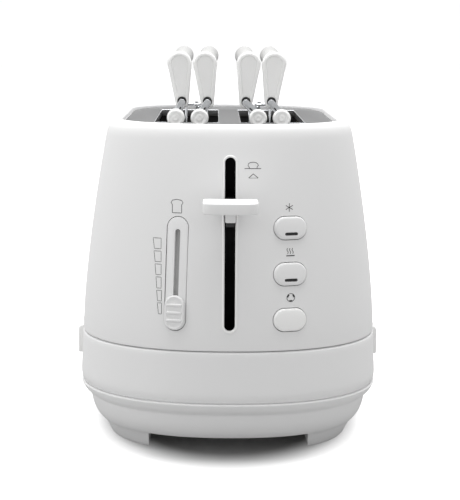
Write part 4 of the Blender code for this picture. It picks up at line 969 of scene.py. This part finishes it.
# The inner half ends in a pin; the outer half ends in an eye round that pin.
def makeRest(x, side, row):
    half, high, restZ, eyeZ = (cageLook[key] for key in ("half", "high", "restZ", "eyeZ"))
    pinX, pinY, eye = side * cageLook["pinX"], cageLook["pinY"], cageLook["eye"]
    if row == "inner":
        path = [(x, half, high), (x, half, restZ - 1), (x, half + 1, restZ)]
        path += [(x, pinY, restZ), (pinX, pinY, restZ)]
    else:
        path = [
            (x, half, high), (x, half, restZ), (x, half + 1, eyeZ - 0.7), (x, half + 3, eyeZ),
            (x, pinY, eyeZ), (pinX + side * eye, pinY, eyeZ),
        ]
    parts = [wire("rest", [at(*point) for point in path], cageLook["bar"])]
    if row == "inner":
        return parts + [wire("pin", [at(pinX, pinY, restZ - 1), at(pinX, pinY, restZ + 4.3)], 1.4)]
    spin = [math.tau * k / 24 for k in range(24)]
    ring = [at(pinX + eye * math.cos(a), pinY + eye * math.sin(a), eyeZ) for a in spin]
    return parts + [wire("eye", ring, 0.85, closed=True)]


def makeCages():
    for side, hand in ((-1, "left"), (1, "right")):
        for row in ("inner", "outer"):
            body = f"cage_{hand}" if row == "inner" else f"cage_{hand}_outer_half"
            tag = f"{hand}_{row}"
            x, handleX, knobX = (side * cageLook[key][row] for key in ("wireX", "handleX", "knobX"))
            footX = handleX - side * cageLook["lean"] + cageLook["paddleShift"]
            tangX = footX + side * cageLook["tang"]
            handle = makeHandle(f"paddle_{tag}", handleX, side, tangX)
            finish(handle, handlePlastic, body, "handle_plastic", f"cage_handle_{tag}")
            knob = makeKnob(f"knob_{tag}", knobX)
            finish(knob, handlePlastic, body, "handle_plastic", f"cage_knob_{tag}")
            fork = makeFork(f"fork_{tag}", side, footX, knobX + cageLook["shiftX"])
            finish(fork, chromedWire, body, "chromed_wire")
            parts = makeCageWires(tag, side, row, tangX) + makeRest(x, side, row)
            cage = joinAll(f"wires_{tag}", parts)
            finish(cage, chromedWire, body, "chromed_wire", f"cage_wire_{tag}", smooth=50)


# Printed symbols: fine strokes of ink that follow the curve of the wall.
def stroke(points, radius=0.2, closed=False):
    dense = []
    pairs = list(zip(points, points[1:] + points[:1])) if closed else list(zip(points, points[1:]))
    for (ax, az), (bx, bz) in pairs:
        count = max(1, round(math.hypot(bx - ax, bz - az) / 1.2))
        dense += [(ax + (bx - ax) * k / count, az + (bz - az) * k / count) for k in range(count)]
    if not closed:
        dense.append(points[-1])
    places = [onWall(x, z, -0.1).translation for x, z in dense]
    return wire("stroke", places, radius, closed=closed, sides=1)


symbolLook = {
    "fine": 0.2, "line": 0.23, "bold": 0.34, "wedge": 0.42, "flake": 2.45, "ring": 2.4, "wedges": 1.9,
    "flakeAt": (35.51, 155.0), "warmAt": (34.6, 127.5), "stopAt": (36.77, 101.33),
}
bun = [
    (11.3, 178.45), (11.28, 179.3), (10.5, 179.95), (10.74, 181.08), (11.82, 181.85), (13.5, 182.08),
    (15.3, 181.85), (16.38, 181.07), (16.68, 180.06), (15.96, 179.3), (15.96, 178.45),
]
toast = [
    (-34.6, 151.6), (-29, 151.6), (-29, 156.4), (-28.2, 157.6), (-29, 159),
    (-31.8, 159.6), (-34.6, 159), (-35.4, 157.6), (-34.6, 156.4),
]
# Each browning box: its left edge at the top and at the bottom, its right edge, its top and its bottom.
boxes = [
    (-46.15, -45.37, -41.3, 136.1, 129.8), (-45.61, -44.9, -41.26, 128.35, 122.05),
    (-44.96, -44.38, -41.22, 120.6, 114.3), (-44.31, -43.85, -41.18, 112.9, 106.3),
    (-43.91, -43.33, -40.96, 104.95, 98.65), (-43.45, -42.75, -40.88, 97.45, 90.85),
]


def makeSymbols():
    fine, line, bold = (symbolLook[key] for key in ("fine", "line", "bold"))
    # a bun resting on the openings, and an arrow head that says keep clear
    lines = [stroke([(8.5, 178.37), (18.4, 178.34)], line), stroke(bun, line)]
    lines.append(stroke([(10.95, 172.8), (13.7, 175.2), (16.6, 172.8)], line))
    lines.append(stroke([(11.2, 172.7), (16.4, 172.7)], 0.15))
    # snowflake
    x, z = symbolLook["flakeAt"]
    for turn in range(3):
        angle = math.radians(90 + 60 * turn)
        dx, dz = symbolLook["flake"] * math.cos(angle), symbolLook["flake"] * math.sin(angle)
        lines.append(stroke([(x - dx, z - dz), (x + dx, z + dz)], line))
    # warmth: three waves over a line
    x, z = symbolLook["warmAt"]
    for step in range(3):
        wave = [(x + 1.55 * step + 0.4 * math.sin(math.tau * k / 8), z + 0.42 * k) for k in range(9)]
        lines.append(stroke(wave, line))
    lines.append(stroke([(33.9, 126.35), (38.9, 126.45)], bold))

    # stop: a ring round three dark wedges
    def around(reach, turns):
        x, z = symbolLook["stopAt"]
        return [(x + reach * math.cos(a), z + reach * math.sin(a)) for a in turns]

    ring = around(symbolLook["ring"], [math.tau * k / 24 for k in range(24)])
    lines.append(stroke(ring, line, closed=True))
    for angle in (150, 30, 270):
        turns = [math.radians(angle + d) for d in (-26, -13, 0, 13, 26)]
        lines.append(stroke(around(symbolLook["wedges"], turns), symbolLook["wedge"]))
    # six boxes that grow with the browning
    for leftTop, leftLow, right, top, low in boxes:
        corners = [(leftLow, low), (right, low), (right, top), (leftTop, top)]
        lines.append(stroke(corners, fine, closed=True))
    # a slice of toast over the slider
    lines.append(stroke(toast, line, closed=True))
    symbols = joinAll("printed_symbols", lines)
    finish(symbols, printInk, "housing", "control_plastic", smooth=60)


makeUpperHousing()
print("upper housing made")
makeLowerBand()
makeBase()
makeSideGrips()
makeGland()
print("base made")
makeTopPlate()
makeButtons()
makeBrowningControl()
makeLever()
print("controls made")
makeCages()
makeSymbols()
print("cages and symbols made")

# Studio: a grey floor whose painted glow, seen by the camera alone, fades in to white beyond an oval round the
# body, so the grey near the body is painted shadow; a broad light overhead and softer ones beside it.
studio = {
    "sky": 0.62, "backdrop": 1.02, "floorSize": 12, "glowNear": 0.07, "glowFar": 0.109, "glow": 1.0,
    "glowShape": (1.07, 0.62, 1),
}
lights = {
    "overhead": {"spot": (0, 0.25, 1.6), "aim": (0, 0.1, 0), "width": 1.6, "power": 43.0},
    "left_side": {"spot": (-1.5, -0.8, 0.9), "aim": (0, 0, 0.1), "width": 1.2, "power": 4.6},
    "right_fill": {"spot": (1.5, -1.6, 0.8), "aim": (0, 0, 0.1), "width": 1.4, "power": 1.4},
}
deselect()
bpy.ops.mesh.primitive_grid_add(
    x_subdivisions=24, y_subdivisions=24, size=studio["floorSize"], location=(0, 2, 0)
)
floor = named("studio_floor")
applyPlace(floor)
bpy.ops.object.shade_smooth()
floor.data.materials.append(glowGreyFloor)
tree = glowGreyFloor.node_tree
shader = tree.nodes["Principled BSDF"]
# Painted glow: the floor emits white to camera rays beyond an oval round the body, leaving painted shadow
# inside it.
spot = addNode(tree, "ShaderNodeTexCoord").outputs["Object"]
oval = addNode(tree, "ShaderNodeMapping", {"Vector": spot, "Scale": studio["glowShape"]})
reach = addNode(tree, "ShaderNodeVectorMath", {0: oval.outputs["Vector"]}, operation="LENGTH")
ends = {"Value": reach.outputs["Value"], "To Max": studio["glow"]}
ends |= {"From Min": studio["glowNear"], "From Max": studio["glowFar"]}
fade = addNode(tree, "ShaderNodeMapRange", ends, interpolation_type="SMOOTHSTEP")
seen = addNode(tree, "ShaderNodeLightPath").outputs["Is Camera Ray"]
glow = addNode(tree, "ShaderNodeMath", {0: fade.outputs["Result"], 1: seen}, operation="MULTIPLY")
tree.links.new(glow.outputs["Value"], shader.inputs["Emission Strength"])
shader.inputs["Emission Color"].default_value = (1, 1, 1, 1)

world = bpy.data.worlds.new("pale studio")
bpy.context.scene.world = world
world.use_nodes = True
tree = world.node_tree
sky = tree.nodes["Background"]
seen = addNode(tree, "ShaderNodeLightPath").outputs["Is Camera Ray"]
ends = {"Value": seen, "To Min": studio["sky"], "To Max": studio["backdrop"]}
level = addNode(tree, "ShaderNodeMapRange", ends)
tree.links.new(level.outputs["Result"], sky.inputs["Strength"])
sky.inputs["Color"].default_value = (1, 1, 1, 1)

for name, light in lights.items():
    deselect()
    bpy.ops.object.light_add(type="AREA", location=light["spot"])
    lamp = bpy.context.active_object
    lamp.name = name
    lamp.data.shape = "RECTANGLE"
    lamp.data.size = lamp.data.size_y = light["width"]
    lamp.data.energy = light["power"]
    aim = Vector(light["aim"]) - Vector(light["spot"])
    lamp.rotation_euler = aim.to_track_quat("-Z", "Y").to_euler()

view = {
    "place": (-9, -1039.65, 263.5), "pitch": 8.365, "yaw": -0.496, "roll": 0.39,
    "lens": 110.56, "shift": 0.004, "sensor": 36,
}
deselect()
bpy.ops.object.camera_add()
camera = bpy.context.active_object
turn = Matrix.Rotation(math.radians(view["yaw"]), 4, "Z")
turn = turn @ Matrix.Rotation(math.radians(90 - view["pitch"]), 4, "X")
turn = turn @ Matrix.Rotation(math.radians(view["roll"]), 4, "Z")
camera.matrix_world = Matrix.Translation(Vector(view["place"]) * mm) @ turn
camera.data.lens = view["lens"]
camera.data.sensor_width = view["sensor"]
camera.data.shift_x = view["shift"]
bpy.context.scene.camera = camera
bpy.context.scene.view_settings.view_transform = "Standard"
print("studio made")

bpy.context.view_layer.update()
